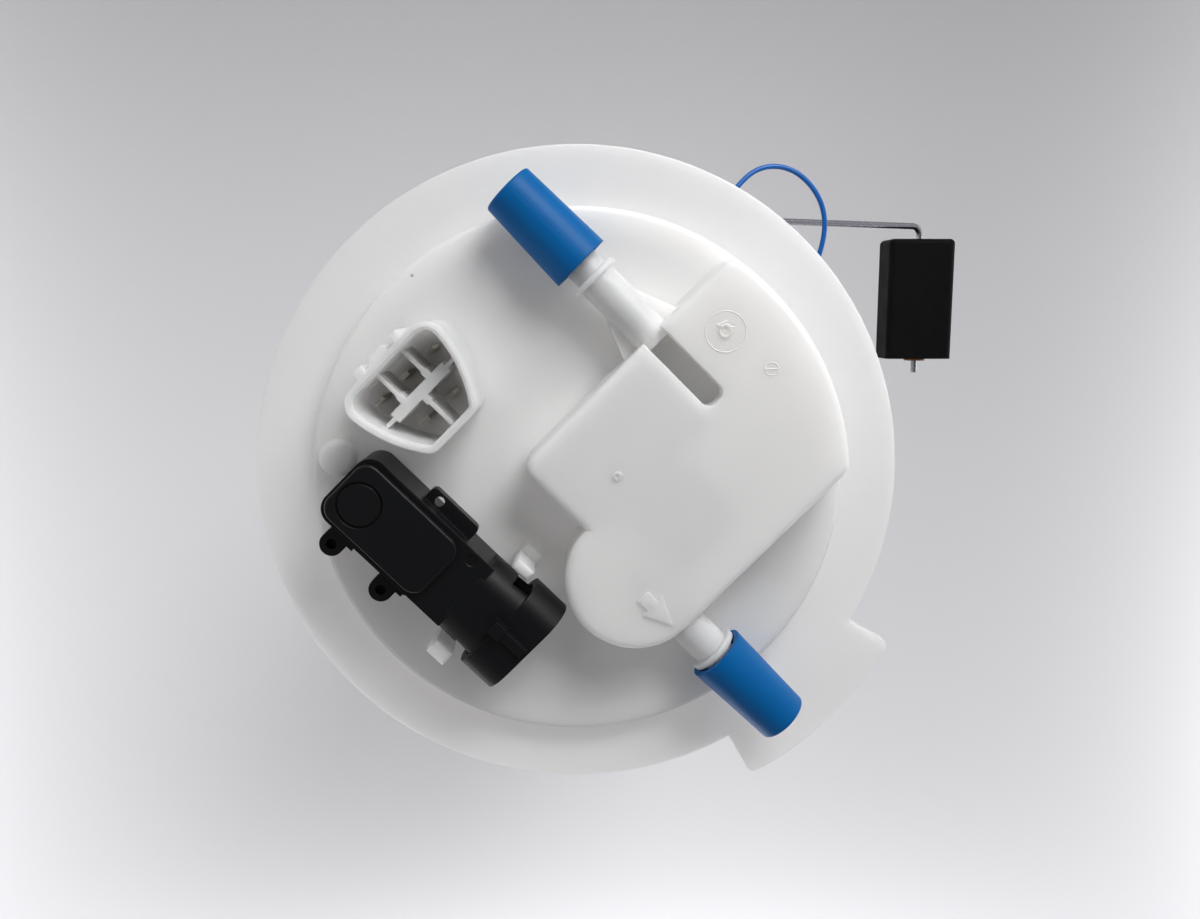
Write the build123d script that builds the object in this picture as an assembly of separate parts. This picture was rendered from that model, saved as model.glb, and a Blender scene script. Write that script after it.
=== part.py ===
from build123d import *
import os
from math import atan2, cos, degrees, hypot, pi, radians, sin, tan

os.makedirs("parts", exist_ok=True)

# Fuel pump module with a spring-loaded reservoir, in millimetres.
# Z points up along the module and z = 0 is the flange's seating face, on the module's axis.
# The float arm reaches out along +X. The flange's top features are laid out in a pipe frame,
# whose x runs along the two pipes, and are turned into place by PIPE_HEADING.

# Overlap by which added features reach into what carries them
ROOT = 0.5

# Driving dimensions of the flange moulding
RIM_R = 75.0
RIM_T = 3.0
DISC_R = 61.0
DISC_RISE = 5.5
ROOF_T = 3.0
SKIRT_STEP = 3.5
SKIRT_WALL = 2.5
SKIRT_DROP = 12.0
TAB_REACH = 11.5
TAB_SPAN = 31.5
TAB_CORNER_R = 2.0
PIPE_HEADING = -45.0
EDGE_R = 1.2
RIB_T = 2.0
RIB_DROP = 3.0
RIB_RING_R = 20.0
RIB_HEADINGS = (66.0, 210.0, 270.0, 300.0)

# Vapour chamber on the disc, in the pipe frame
CHAMBER_RISE = 14.0
CHAMBER_BACK = -12.1
CHAMBER_LENGTH = 51.6
CHAMBER_INSET = 1.7
CHAMBER_CORNER_R = 3.0
CHAMBER_EDGE_R = 1.6
LOBE_R = 15.8
SLOT_LENGTH = 20.0
SLOT_W = 5.4
SLOT_DEPTH = 6.5
SLOT_END_R = 2.0
POCKET_WALL = 2.5
POCKET_R = 1.5
MARK_RISE = 0.5
ARROW_TAIL = 3.4
ARROW_NECK = 6.5
ARROW_TIP = 12.7
ARROW_W = 3.1
ARROW_HEAD_W = 6.1
ARROW_SHIFT = 1.5
RING_MARKS = ((4.1, 7.6, 1.0), (-1.7, 45.9, 1.5))
RING_MARK_W = 0.5

# Quick-connect pipes
PIPE_R = 3.97
PIPE_BASE_R = 4.4
PIPE_BORE_R = 2.4
PIPE_Z = 16.0
PIPE_TIP_CHAMFER = 0.6
PIPE_ROOT = 2.2
COLLAR_R = 5.8
COLLAR_T = 1.4
NIPPLE_LENGTH = 21.0
VENT_PIPE_Y = 34.3
VENT_BASE_LENGTH = 17.4
SUPPLY_BASE_LENGTH = 9.6
GUSSET_LENGTH = 10.0
GUSSET_TIP_W = 8.3
GUSSET_ROOT_W = 16.8
VAPOUR_R = 2.0
VAPOUR_Z = 11.0
DROP_R = 2.2

# Protective caps
CAP_MOUTH_R = 6.9
CAP_TIP_R = 6.1
CAP_LENGTH = 22.4
CAP_END_T = 1.8
CAP_TIP_ROUND = 0.6
CAP_MOUTH_BORE_R = 5.6
CAP_STEP_BORE_R = 5.0
CAP_STEP = 9.0
CAP_GRIP = 0.05
VENT_CAP_GAP = 3.4
SUPPLY_CAP_GAP = 0.4

# Electrical connector, in the pipe frame
SHROUD_INSET = 11.9
SHROUD_DEPTH = 21.8
SHROUD_GAP = 3.3
SHROUD_BACK_W = 26.6
SHROUD_FRONT_W = 13.0
SHROUD_BOW = 2.3
SHROUD_BACK_R = 4.5
SHROUD_FRONT_R = 3.0
SHROUD_RISE = 20.5
SHROUD_WALL = 1.7
SHROUD_LEDGE = 0.5
SHROUD_FLOOR_T = 2.5
PARTITION_T = 0.9
PARTITION_DROP = 5.0
LAND_W = 2.6
LAND_LENGTH = 15.5
LAND_NUB = 1.6
BLADE_W = 2.2
BLADE_T = 0.8
BLADE_PITCH = 7.5
BLADE_ROW_GAP = 9.8
BLADE_BACK_INSET = 5.7
BLADE_STOP = 1.0
BLADE_DROP = 6.0
BLADE_END_GAP = 0.3
KEY_W = 2.4
KEY_PROUD = 1.9
KEY_SPREAD = 5.3
KEY_STOP = 1.0
BAND_W = 9.0
BAND_PROUD = 0.6
BAND_STOP = 2.0
LATCH_W = 4.4
LATCH_H = 7.0
LATCH_DROP = 2.0
LATCH_CORNER_R = 0.8
PLUG_BACK = 4.0
PLUG_FRONT = 3.5
PLUG_SIDE = 4.0
PLUG_GAP = 1.0
PLUG_DROP = 14.0

# Pressure sensor, in the pipe frame
SENSOR_INSET = 26.5
SENSOR_BACK = -37.5
SENSOR_LIFT = 2.0
BODY_L = 36.0
BODY_W = 17.6
BODY_H = 14.0
BODY_R = 4.0
LID_L = 28.4
LID_W = 15.2
LID_T = 2.0
LID_R = 3.5
LID_INSET = 0.6
LID_EDGE_R = 0.5
DIAL_R = 5.1
DIAL_INSET = 6.4
DIAL_SHIFT = 0.7
DIAL_GROOVE = 0.6
NECK_L = 10.5
NECK_START_W = 20.3
NECK_END_W = 21.0
NECK_R = 6.5
MOUTH_L = 8.8
MOUTH_W = 24.8
MOUTH_H = 15.0
MOUTH_R = 6.5
MOUTH_WALL = 1.8
MOUTH_DEPTH = 13.0
MOUTH_SINK = 0.2
SENSOR_LOBE_GAP = 0.3
RAIL_W = 2.3
RAIL_H = 1.2
RAIL_STOP = 0.9
RAIL_BUMP = 3.2
RAIL_BUMP_H = 2.0
DIMPLE_R = 1.4
DIMPLE_DEPTH = 0.4
DIMPLE_BACK = 4.1
DIMPLE_SIDE = 6.9
PORT_R = 3.4
PORT_WALL = 1.6
PORT_DROP = 6.0
PORT_INSET = 6.4
GROMMET_WALL = 2.1
GROMMET_LIP = 0.8
EAR_R = 2.7
EAR_T = 3.0
EAR_DROP = 4.0
EAR_REACH = 4.1
EAR_FIRST = 8.0
EAR_SPACING = 14.7
EAR_ROOT = 1.5
EAR_HOLE_R = 1.2
EAR_HOLE_DEPTH = 2.0
SHELF_START = 5.3
SHELF_L = 22.0
SHELF_W = 1.5
SIDE_TAB_START = 15.2
SIDE_TAB_L = 13.6
SIDE_TAB_REACH = 3.5
SIDE_TAB_CORNER_R = 1.2
SIDE_TAB_HOLE_R = 1.1
SIDE_TAB_HOLE_IN = 3.1
SENSOR_PIN_W = 1.2
SENSOR_PIN_PITCH = 5.0
SENSOR_PIN_STOP = 4.0
CLIP_START = 3.7
CLIP_L = 4.8
CLIP_H = 11.5
CLIP_SPANS = ((1, 10.8, 13.4), (-1, 12.9, 16.3))
CLIP_FOOT = 2.0
CLIP_CHAMFER = 0.5
STUB_R = 4.2
STUB_RISE = 3.0
STUB_GAP = 0.3
STUB_SHIFT = 0.7

# Guide rods, their clips and the lift springs
ROD_R = 4.0
ROD_GAP = 1.3
ROD_HEADINGS = (107.5, 239.5, 332.0)
ROD_BOSS_R = 6.6
ROD_BOSS_DROP = 10.0
ROD_SOCKET_TOP = 3.0
ROD_FIT = 0.05
ROD_TAIL = 3.9
ROD_CHAMFER = 0.6
GROOVE_DEPTH = 0.6
CLIP_RING_R = 6.0
CLIP_RING_T = 1.0
CLIP_PLAY = 0.05
CLIP_MOUTH_W = 3.0
SPRING_WIRE_R = 0.7
SPRING_R = 5.2
SPRING_TURNS = 7
SPRING_GAP = 0.1
SPRING_WIRE_SIDES = 6

# Vent valve, placed by its distance in from the disc's edge and its heading in the pipe frame
VALVE_INSET = 19.8
VALVE_HEADING = 54.4
VALVE_R = 11.4
VALVE_WALL = 1.5
VALVE_FIT = 0.3
VALVE_TOP = 9.0
VALVE_HEADROOM = 4.5
VALVE_DROP = 22.0
VALVE_RING_R = 13.9
VALVE_COLLAR_R = 13.0
VALVE_COLLAR_T = 2.0
VALVE_CAP_T = 2.0
VALVE_VENT_R = 1.6
VALVE_HOLES = 6
VALVE_HOLE_R = 1.3
VALVE_HOLE_CIRCLE = 6.3
VALVE_FLOAT_GAP = 0.8
VALVE_SEAT_GAP = 0.2
VALVE_LIFT = 4.0
VALVE_TIP_R = 5.5
VALVE_TIP_H = 4.0

# Reservoir cup and lid
CUP_R = 50.0
CUP_WALL = 2.2
CUP_BASE = -190.0
CUP_FLOOR_T = 2.5
CUP_EDGE_R = 2.0
BEAD_PROUD = 1.0
BEAD_H = 3.0
BEAD_GAP = 1.0
CUP_RIB_HEADINGS = (30.0, 150.0, 210.0, 330.0)
LID_TOP = -59.0
LID_PLATE_T = 3.0
LID_PLUG_GAP = 0.2
LID_PLUG_T = 1.8
LID_PLUG_H = 3.0
SLEEVE_R = 7.0
SLEEVE_LENGTH = 33.0
WEB_DROP = 10.0
WINDOW_HEADINGS = (25.0, 60.0, 135.0, 205.0)
WINDOW_INSET = 14.0
WINDOW_W = 12.0
WINDOW_L = 16.0
WINDOW_R = 3.0
STRAP_W = 10.0
STRAP_T = 1.8
STRAP_L = 14.0
STRAP_GAP = 0.2
STRAP_HEADINGS = (0.0, 180.0, 292.0)
PEG_W = 7.0
PEG_T = 1.6
PEG_H = 3.0
PEG_GAP = 0.3
FOOT_RECESS_R = 22.0
FOOT_RECESS = 1.2
INTAKE_AT = (-16.0, 14.0)
INTAKE_R = 5.0
FOOT_VALVE_R = 8.0
FOOT_VALVE_T = 1.0

# Pump, placed by its heading and its gap to the cup's wall
PUMP_HEADING = -78.4
PUMP_GAP = 7.84
PUMP_R = 19.0
PUMP_WALL = 1.2
PUMP_TOP = -92.0
PUMP_LENGTH = 78.0
PUMP_LIP_T = 1.5
PUMP_LIP_W = 2.0
LIP_GAP = 0.2
HOLDER_WALL = 2.0
HOLDER_LENGTH = 50.0
ISOLATOR_T = 1.6
OUTLET_COVER_H = 12.0
OUTLET_COVER_T = 8.0
OUTLET_PORT_DROP = 4.0
COVER_RISE = 4.8
NIPPLE_R = 3.5
NIPPLE_BORE_R = 2.0
BARB_RISE = 0.4
BARB_LEAD = 0.2
BARB_PITCH = 4.0
OUTLET_RISE = 18.0
POPPET_LIFT = 4.0
POPPET_LENGTH = 6.0
POPPET_GAP = 0.3
MAGNET_T = 3.2
MAGNET_LENGTH = 44.0
MAGNET_SPAN = 130.0
ARMATURE_R = 13.6
ARMATURE_LENGTH = 38.0
ARMATURE_SLOTS = 8
ARMATURE_SLOT_W = 1.6
SHAFT_R = 1.6
SHAFT_FIT = 0.03
SHAFT_BEARING_L = 3.0
SHAFT_END_GAP = 0.3
COMMUTATOR_R = 6.0
COMMUTATOR_H = 6.0
COMMUTATOR_GAP = 0.5
BRUSH_W = 4.0
BRUSH_GAP = 0.3
IMPELLER_R = 14.5
IMPELLER_T = 3.6
IMPELLER_GAP = 0.3
IMPELLER_FACE_GAP = 0.2
IMPELLER_VANES = 24
VANE_DEPTH = 2.2
VANE_GAP_W = 1.6
CHANNEL_INSET = 3.0
UPPER_PLATE_T = 3.0
MAGNET_GAP = 2.0
INLET_COVER_H = 7.0
THRUST_PAD_T = 2.0
SPOUT_R = 4.0
SPOUT_BORE_R = 2.6
SPOUT_DROP = 7.0
STRAINER_L = 62.0
STRAINER_W = 26.0
STRAINER_T = 5.0
STRAINER_SHIFT = (4.0, 8.0)
STRAINER_CORNER_R = 11.0
STRAINER_EDGE_R = 1.0
STRAINER_GAP = 1.0
STRAINER_COLLAR_T = 2.0
STRAINER_COLLAR_H = 3.0
REGULATOR_AT = (-24.0, 6.0)
REGULATOR_R = 8.5
REGULATOR_H = 20.0
REGULATOR_WALL = 2.0
REGULATOR_FLOOR_T = 2.0
REGULATOR_DRAIN_R = 2.5
REGULATOR_NOSE_R = 5.5
REGULATOR_NOSE_H = 2.0

# Fuel hose
HOSE_R = 5.4
HOSE_BORE_R = 3.6
HOSE_TOP = -13.0
HOSE_GAP = 0.3
HOSE_OVERLAP = 12.0
HOSE_BOSS_R = 6.0
HOSE_HOLE_GAP = 2.0

# Level sender on the cup's +Y side
PIVOT_Z = -58.0
PAD_PROUD = 1.5
PAD_HALF_W = 17.0
SENDER_HALF_W = 20.0
SENDER_TOP = 12.0
SENDER_DROP = 40.0
SENDER_PLATE_T = 3.0
SENDER_RIM_T = 1.6
SENDER_RIM_H = 3.0
SENDER_CORNER_R = 2.5
CARD_T = 0.8
CARD_INSET = 0.4
PIVOT_R = 3.0
PIVOT_FIT = 0.05
PIVOT_REACH = 4.6
PIVOT_END_GAP = 0.2
HUB_R = 7.5
HUB_GAP = 0.5
HUB_T = 8.2
HUB_NOSE = 5.0
HUB_NOSE_T = 4.5
HUB_NOSE_H = 6.0
WIRE_R = 1.0
WIRE_INSET = 1.6
WIPER_REACH = 17.0
WIPER_T = 0.5
WIPER_W = 1.8
WIPER_SPREAD = 2.4
WIPER_GAP = 0.1
WIPER_BORE_GAP = 0.3
SENDER_PIN_X = 14.0
SENDER_PIN_L = 6.0
SENDER_PIN_R = 1.3
SENDER_PIN_GAP = 0.1
SENDER_PIN_PITCH = 5.0
LEAD_RISE = 7.0
LEAD_NOTCH_W = 4.0

# Float arm and float
ARM_LENGTH = 122.0
ARM_SLOPE = 21.6
ARM_TAIL = 6.0
ARM_BEND_R = 3.0
FLOAT_L = 38.8
FLOAT_W = 21.5
FLOAT_H = 14.0
FLOAT_BORE_OFFSET = 0.7
FLOAT_DROP = 4.3
FLOAT_FIT = 0.06
FLOAT_EDGE_R = 2.0
FLOAT_END_R = 1.6
STUB_END = 4.8
RETAINER_R = 3.4
RETAINER_T = 0.6
RETAINER_GAP = 0.2

# Blue signal wire, from the harness plug to the sender's terminal. Points are chosen by hand.
CORD_R = 0.7
CORD_ARC = 0.45
CORD_ROUTE = (
    (-25.5, 29.0, -9.0), (-21.5, 36.5, -10.5), (-15.0, 47.5, -18.0), (2.0, 49.0, -33.0), (16.0, 48.5, -38.0),
    (27.0, 51.0, -40.0), (36.0, 58.0, -40.5), (42.4, 67.6, -41.5), (51.0, 75.5, -45.0), (60.0, 76.0, -44.5),
    (67.0, 68.0, -44.5), (68.6, 58.0, -45.0), (64.0, 44.5, -46.0), (50.0, 45.0, -48.0), (35.0, 54.0, -50.5),
    (17.1, 55.9, -51.0),
)

# Places and heights that follow from the sizes above
DISC_TOP = RIM_T + DISC_RISE
ROOF_UNDER = DISC_TOP - ROOF_T
SKIRT_R = DISC_R - SKIRT_STEP
SKIRT_INNER_R = SKIRT_R - SKIRT_WALL
CHAMBER_TOP = DISC_TOP + CHAMBER_RISE
CHAMBER_FRONT = CHAMBER_BACK + CHAMBER_LENGTH
LOBE_X = CHAMBER_FRONT - LOBE_R
SENSOR_Y = SENSOR_INSET - DISC_R
CHAMBER_SIDE = SENSOR_Y + MOUTH_W / 2 + LOBE_R + SENSOR_LOBE_GAP
SUPPLY_Y = CHAMBER_SIDE
VENT_COLLAR_X = CHAMBER_BACK - VENT_BASE_LENGTH
VENT_END_X = VENT_COLLAR_X - NIPPLE_LENGTH
VENT_DROP_X = CHAMBER_BACK - GUSSET_LENGTH / 2
SUPPLY_COLLAR_X = CHAMBER_FRONT + SUPPLY_BASE_LENGTH
SUPPLY_END_X = SUPPLY_COLLAR_X + NIPPLE_LENGTH
VALVE_X = (DISC_R - VALVE_INSET) * cos(radians(VALVE_HEADING))
VALVE_Y = (DISC_R - VALVE_INSET) * sin(radians(VALVE_HEADING))

SHROUD_BACK = SHROUD_INSET - DISC_R
SHROUD_Y = SENSOR_Y + BODY_W / 2 + SHROUD_GAP + SHROUD_BACK_W / 2
SHROUD_TOP = DISC_TOP + SHROUD_RISE
SHROUD_FLOOR = DISC_TOP + SHROUD_FLOOR_T
PARTITION_TOP = SHROUD_TOP - PARTITION_DROP
BLADE_BACK_X = SHROUD_BACK + BLADE_BACK_INSET
BLADE_FRONT_X = BLADE_BACK_X + BLADE_ROW_GAP
BLADE_PLACES = [(BLADE_BACK_X, SHROUD_Y + k * BLADE_PITCH) for k in (-1, 0, 1)]
BLADE_PLACES += [(BLADE_FRONT_X, SHROUD_Y + k * BLADE_PITCH) for k in (-0.5, 0.5)]
PLUG_X0 = BLADE_BACK_X - PLUG_BACK
PLUG_X1 = BLADE_FRONT_X + PLUG_FRONT
PLUG_HALF_W = BLADE_PITCH + PLUG_SIDE

PORT_X = SENSOR_BACK + PORT_INSET
SENSOR_BASE = DISC_TOP + SENSOR_LIFT
SENSOR_TOP = SENSOR_BASE + BODY_H
SENSOR_Z = SENSOR_BASE + MOUTH_H / 2 - MOUTH_SINK
NECK_X = SENSOR_BACK + BODY_L
MOUTH_X = NECK_X + NECK_L
MOUTH_END = MOUTH_X + MOUTH_L

CUP_INNER_R = CUP_R - CUP_WALL
CUP_RIM = LID_TOP - LID_PLATE_T
PEG_Z = CUP_RIM - STRAP_L + PEG_H + 1
ROD_CIRCLE_R = CUP_INNER_R - SLEEVE_R - ROD_GAP
CLIP_Z = LID_TOP - SLEEVE_LENGTH - CLIP_PLAY - ROD_FIT

HOLDER_R = PUMP_R + ISOLATOR_T + HOLDER_WALL
PUMP_REACH = CUP_INNER_R - HOLDER_R - PUMP_GAP
PUMP_AT = (PUMP_REACH * cos(radians(PUMP_HEADING)), PUMP_REACH * sin(radians(PUMP_HEADING)))
PUMP_BOTTOM = PUMP_TOP - PUMP_LENGTH
CASE_IN_R = PUMP_R - PUMP_WALL
LIP_R = CASE_IN_R - PUMP_LIP_W
INLET_TOP = PUMP_BOTTOM + PUMP_LIP_T + INLET_COVER_H
IMPELLER_Z = INLET_TOP + IMPELLER_FACE_GAP
RING_TOP = IMPELLER_Z + IMPELLER_T + IMPELLER_FACE_GAP
CHANNEL_R = IMPELLER_R - CHANNEL_INSET
MAGNET_Z = RING_TOP + UPPER_PLATE_T + MAGNET_GAP
OUTLET_BASE = PUMP_TOP - PUMP_LIP_T - OUTLET_COVER_T
SHAFT_TOP = OUTLET_BASE + SHAFT_BEARING_L
SHAFT_BOTTOM = PUMP_BOTTOM + PUMP_LIP_T + THRUST_PAD_T
INLET_AT = (PUMP_AT[0] - CHANNEL_R, PUMP_AT[1])

PAD_Y = CUP_R + PAD_PROUD
SENDER_Y1 = PAD_Y + SENDER_PLATE_T
RIM_Y = SENDER_Y1 + SENDER_RIM_H
HUB_Y0 = RIM_Y + HUB_GAP
HUB_Y1 = HUB_Y0 + HUB_T
POST_END = HUB_Y0 + PIVOT_REACH
WIRE_Y = HUB_Y1 - WIRE_INSET
FLOAT_TOP_Y = WIRE_Y - FLOAT_DROP
ARM_END = (ARM_LENGTH * cos(radians(ARM_SLOPE)), PIVOT_Z - ARM_LENGTH * sin(radians(ARM_SLOPE)))


def turned(shape):
    """Turns a shape from the pipe frame into the module's frame."""
    return Rot(0, 0, PIPE_HEADING) * shape


def out_of_pipe_frame(x, y):
    """The place in the module's frame of a point of the pipe frame."""
    a = radians(PIPE_HEADING)
    return (x * cos(a) - y * sin(a), x * sin(a) + y * cos(a))


def post(r, z0, z1, at=(0, 0)):
    """An upright round bar between two heights."""
    return Pos(at[0], at[1], (z0 + z1) / 2) * Cylinder(r, z1 - z0)


def tube(r_out, r_in, z0, z1, at=(0, 0)):
    """An upright tube between two heights."""
    return post(r_out, z0, z1, at) - post(r_in, z0 - 1, z1 + 1, at)


def block(x0, x1, y0, y1, z0, z1):
    """A box given by its faces."""
    centre = Pos((x0 + x1) / 2, (y0 + y1) / 2, (z0 + z1) / 2)
    return centre * Box(x1 - x0, y1 - y0, z1 - z0)


def bar_x(r, x0, x1, y, z):
    """A round bar along x."""
    return Pos((x0 + x1) / 2, y, z) * Rot(0, 90, 0) * Cylinder(r, x1 - x0)


def bar_y(r, y0, y1, x, z):
    """A round bar along y."""
    return Pos(x, (y0 + y1) / 2, z) * Rot(90, 0, 0) * Cylinder(r, y1 - y0)


def raised(sketch, z0, z1):
    """A flat outline extruded between two heights."""
    return extrude(Pos(0, 0, z0) * sketch, z1 - z0)


def save(shape, name):
    """Writes one node."""
    export_step(shape, f"parts/{name}.step")


def rod_places():
    """Centres of the three guide rods."""
    return [(ROD_CIRCLE_R * cos(radians(h)), ROD_CIRCLE_R * sin(radians(h))) for h in ROD_HEADINGS]


def roof_ribs():
    """The ring and the radial ribs that stiffen the roof from below, one of them through each rod's boss."""
    z0 = ROOF_UNDER - RIB_DROP
    z1 = ROOF_UNDER + ROOT
    shape = tube(RIB_RING_R + RIB_T / 2, RIB_RING_R - RIB_T / 2, z0, z1)
    for heading in ROD_HEADINGS + RIB_HEADINGS:
        rib = block(RIB_RING_R, SKIRT_INNER_R + ROOT, -RIB_T / 2, RIB_T / 2, z0, z1)
        shape += Rot(0, 0, heading - PIPE_HEADING) * rib
    return shape


HOSE_AT = out_of_pipe_frame(LOBE_X, SUPPLY_Y)


def rim_and_disc():
    """The seating rim with its locating tab, the raised disc and the skirt under it."""
    half = radians(TAB_SPAN / 2)
    reach = RIM_R + TAB_REACH
    spread = 2 * reach * tan(half)
    wedge = make_face(Polyline((0, 0), (2 * reach, spread), (2 * reach, -spread), close=True))
    tab = Circle(reach) & wedge
    corners = tab.vertices().sort_by(lambda v: -hypot(v.X, v.Y))[:2]
    tab = fillet(corners, TAB_CORNER_R)
    disc = post(DISC_R, 0, DISC_TOP)
    disc = fillet(disc.edges().group_by(Axis.Z)[-1], EDGE_R)
    shape = post(RIM_R, 0, RIM_T) + raised(tab, 0, RIM_T) + disc + post(SKIRT_R, -SKIRT_DROP, RIM_T)
    return shape - post(SKIRT_INNER_R, -SKIRT_DROP - 1, ROOF_UNDER)


def chamber_plan():
    """Outline of the vapour chamber: a block cut off by the disc's arc, with a round lobe."""
    x_mid = (CHAMBER_BACK + CHAMBER_FRONT) / 2
    plan = Pos(x_mid, CHAMBER_SIDE + DISC_R) * Rectangle(CHAMBER_LENGTH, 2 * DISC_R)
    plan = plan & Circle(DISC_R - CHAMBER_INSET)
    corners = plan.vertices().sort_by(lambda v: v.X - v.Y)
    plan = fillet(corners[:-1], CHAMBER_CORNER_R)
    return plan + Pos(LOBE_X, CHAMBER_SIDE) * Circle(LOBE_R)


def chamber():
    """The vapour chamber with soft top edges and its core slot above the vent pipe."""
    shape = raised(chamber_plan(), ROOF_UNDER, CHAMBER_TOP)
    shape = fillet(shape.edges().group_by(Axis.Z)[-1], CHAMBER_EDGE_R)
    slot = block(CHAMBER_BACK - 1, CHAMBER_BACK + SLOT_LENGTH, VENT_PIPE_Y - SLOT_W / 2,
                 VENT_PIPE_Y + SLOT_W / 2, CHAMBER_TOP - SLOT_DEPTH, CHAMBER_TOP + 1)
    return shape - fillet(slot.edges().filter_by(Axis.Z).sort_by(Axis.X)[-2:], SLOT_END_R)


def chamber_pockets():
    """Three pockets cored into the chamber from below, between the valve, the passages and the hose boss."""
    x0 = CHAMBER_BACK + POCKET_WALL
    x1 = VALVE_X - VALVE_RING_R
    y0 = CHAMBER_SIDE + POCKET_WALL
    y1 = VENT_PIPE_Y - VAPOUR_R - POCKET_WALL
    y_mid = (y0 + y1) / 2
    spans = [(x0, x1, y0, y_mid - RIB_T / 2), (x0, x1, y_mid + RIB_T / 2, y1),
             (x1 + RIB_T, LOBE_X + HOSE_BOSS_R, SUPPLY_Y + HOSE_BOSS_R + RIB_T, VALVE_Y - VALVE_RING_R)]
    pockets = []
    for xa, xb, ya, yb in spans:
        pocket = block(xa, xb, ya, yb, ROOF_UNDER - RIB_DROP - 1, CHAMBER_TOP - ROOF_T)
        pockets.append(fillet(pocket.edges().filter_by(Axis.Z), POCKET_R))
    return pockets


def flow_arrow():
    """A plain raised arrow on the lobe that shows which way the fuel leaves."""
    half = ARROW_W / 2
    head = ARROW_HEAD_W / 2
    outline = Polyline((ARROW_TAIL, half), (ARROW_NECK, half), (ARROW_NECK, head), (ARROW_TIP, 0),
                       (ARROW_NECK, -head), (ARROW_NECK, -half), (ARROW_TAIL, -half), close=True)
    arrow = Pos(LOBE_X, SUPPLY_Y - ARROW_SHIFT) * make_face(outline)
    return raised(arrow, CHAMBER_TOP - ROOT, CHAMBER_TOP + MARK_RISE)


def ring_marks():
    """Plain raised rings on the chamber's top, left by the gate and by the mould's inserts."""
    shape = None
    for x, y, r in RING_MARKS:
        ring = tube(r, r - RING_MARK_W, CHAMBER_TOP - ROOT, CHAMBER_TOP + MARK_RISE, (x, y))
        shape = ring if shape is None else shape + ring
    return shape


def pipe(x_root, x_collar, x_end, y):
    """One quick-connect pipe: thick base, collar and thin nipple."""
    side = 1 if x_end > x_root else -1
    base = bar_x(PIPE_BASE_R, min(x_root, x_collar), max(x_root, x_collar), y, PIPE_Z)
    nipple = bar_x(PIPE_R, min(x_collar, x_end), max(x_collar, x_end), y, PIPE_Z)
    tips = nipple.edges().filter_by(GeomType.CIRCLE).sort_by(Axis.X)
    nipple = chamfer(tips[-1 if side > 0 else 0], PIPE_TIP_CHAMFER)
    collar = bar_x(COLLAR_R, x_collar - COLLAR_T / 2, x_collar + COLLAR_T / 2, y, PIPE_Z)
    collar = fillet(collar.edges().filter_by(GeomType.CIRCLE), COLLAR_T * 0.3)
    return base + nipple + collar


def gusset():
    """The pedestal that carries the vent pipe and its passage down through the disc."""
    x_tip = CHAMBER_BACK - GUSSET_LENGTH
    y0 = VENT_PIPE_Y
    plan = make_face(Polyline((x_tip, y0 - GUSSET_TIP_W / 2), (CHAMBER_BACK + ROOT, y0 - GUSSET_ROOT_W / 2),
                              (CHAMBER_BACK + ROOT, y0 + GUSSET_ROOT_W / 2), (x_tip, y0 + GUSSET_TIP_W / 2),
                              close=True))
    return raised(plan, ROOF_UNDER, PIPE_Z)


def shroud_plan(inset):
    """Outline of the connector shroud: a wide back, a narrow front and two bowed sides."""
    x0 = SHROUD_BACK
    x1 = SHROUD_BACK + SHROUD_DEPTH
    a = SHROUD_BACK_W / 2
    b = SHROUD_FRONT_W / 2
    x_mid = (x0 + x1) / 2
    y_mid = (a + b) / 2 + SHROUD_BOW
    outline = Line((x0, -a), (x0, a)) + ThreePointArc((x0, a), (x_mid, y_mid), (x1, b))
    outline += Line((x1, b), (x1, -b)) + ThreePointArc((x1, -b), (x_mid, -y_mid), (x0, -a))
    plan = Pos(0, SHROUD_Y) * make_face(outline)
    plan = fillet(plan.vertices().sort_by(Axis.X)[:2], SHROUD_BACK_R)
    plan = fillet(plan.vertices().sort_by(Axis.X)[-2:], SHROUD_FRONT_R)
    return offset(plan, -inset) if inset else plan


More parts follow.
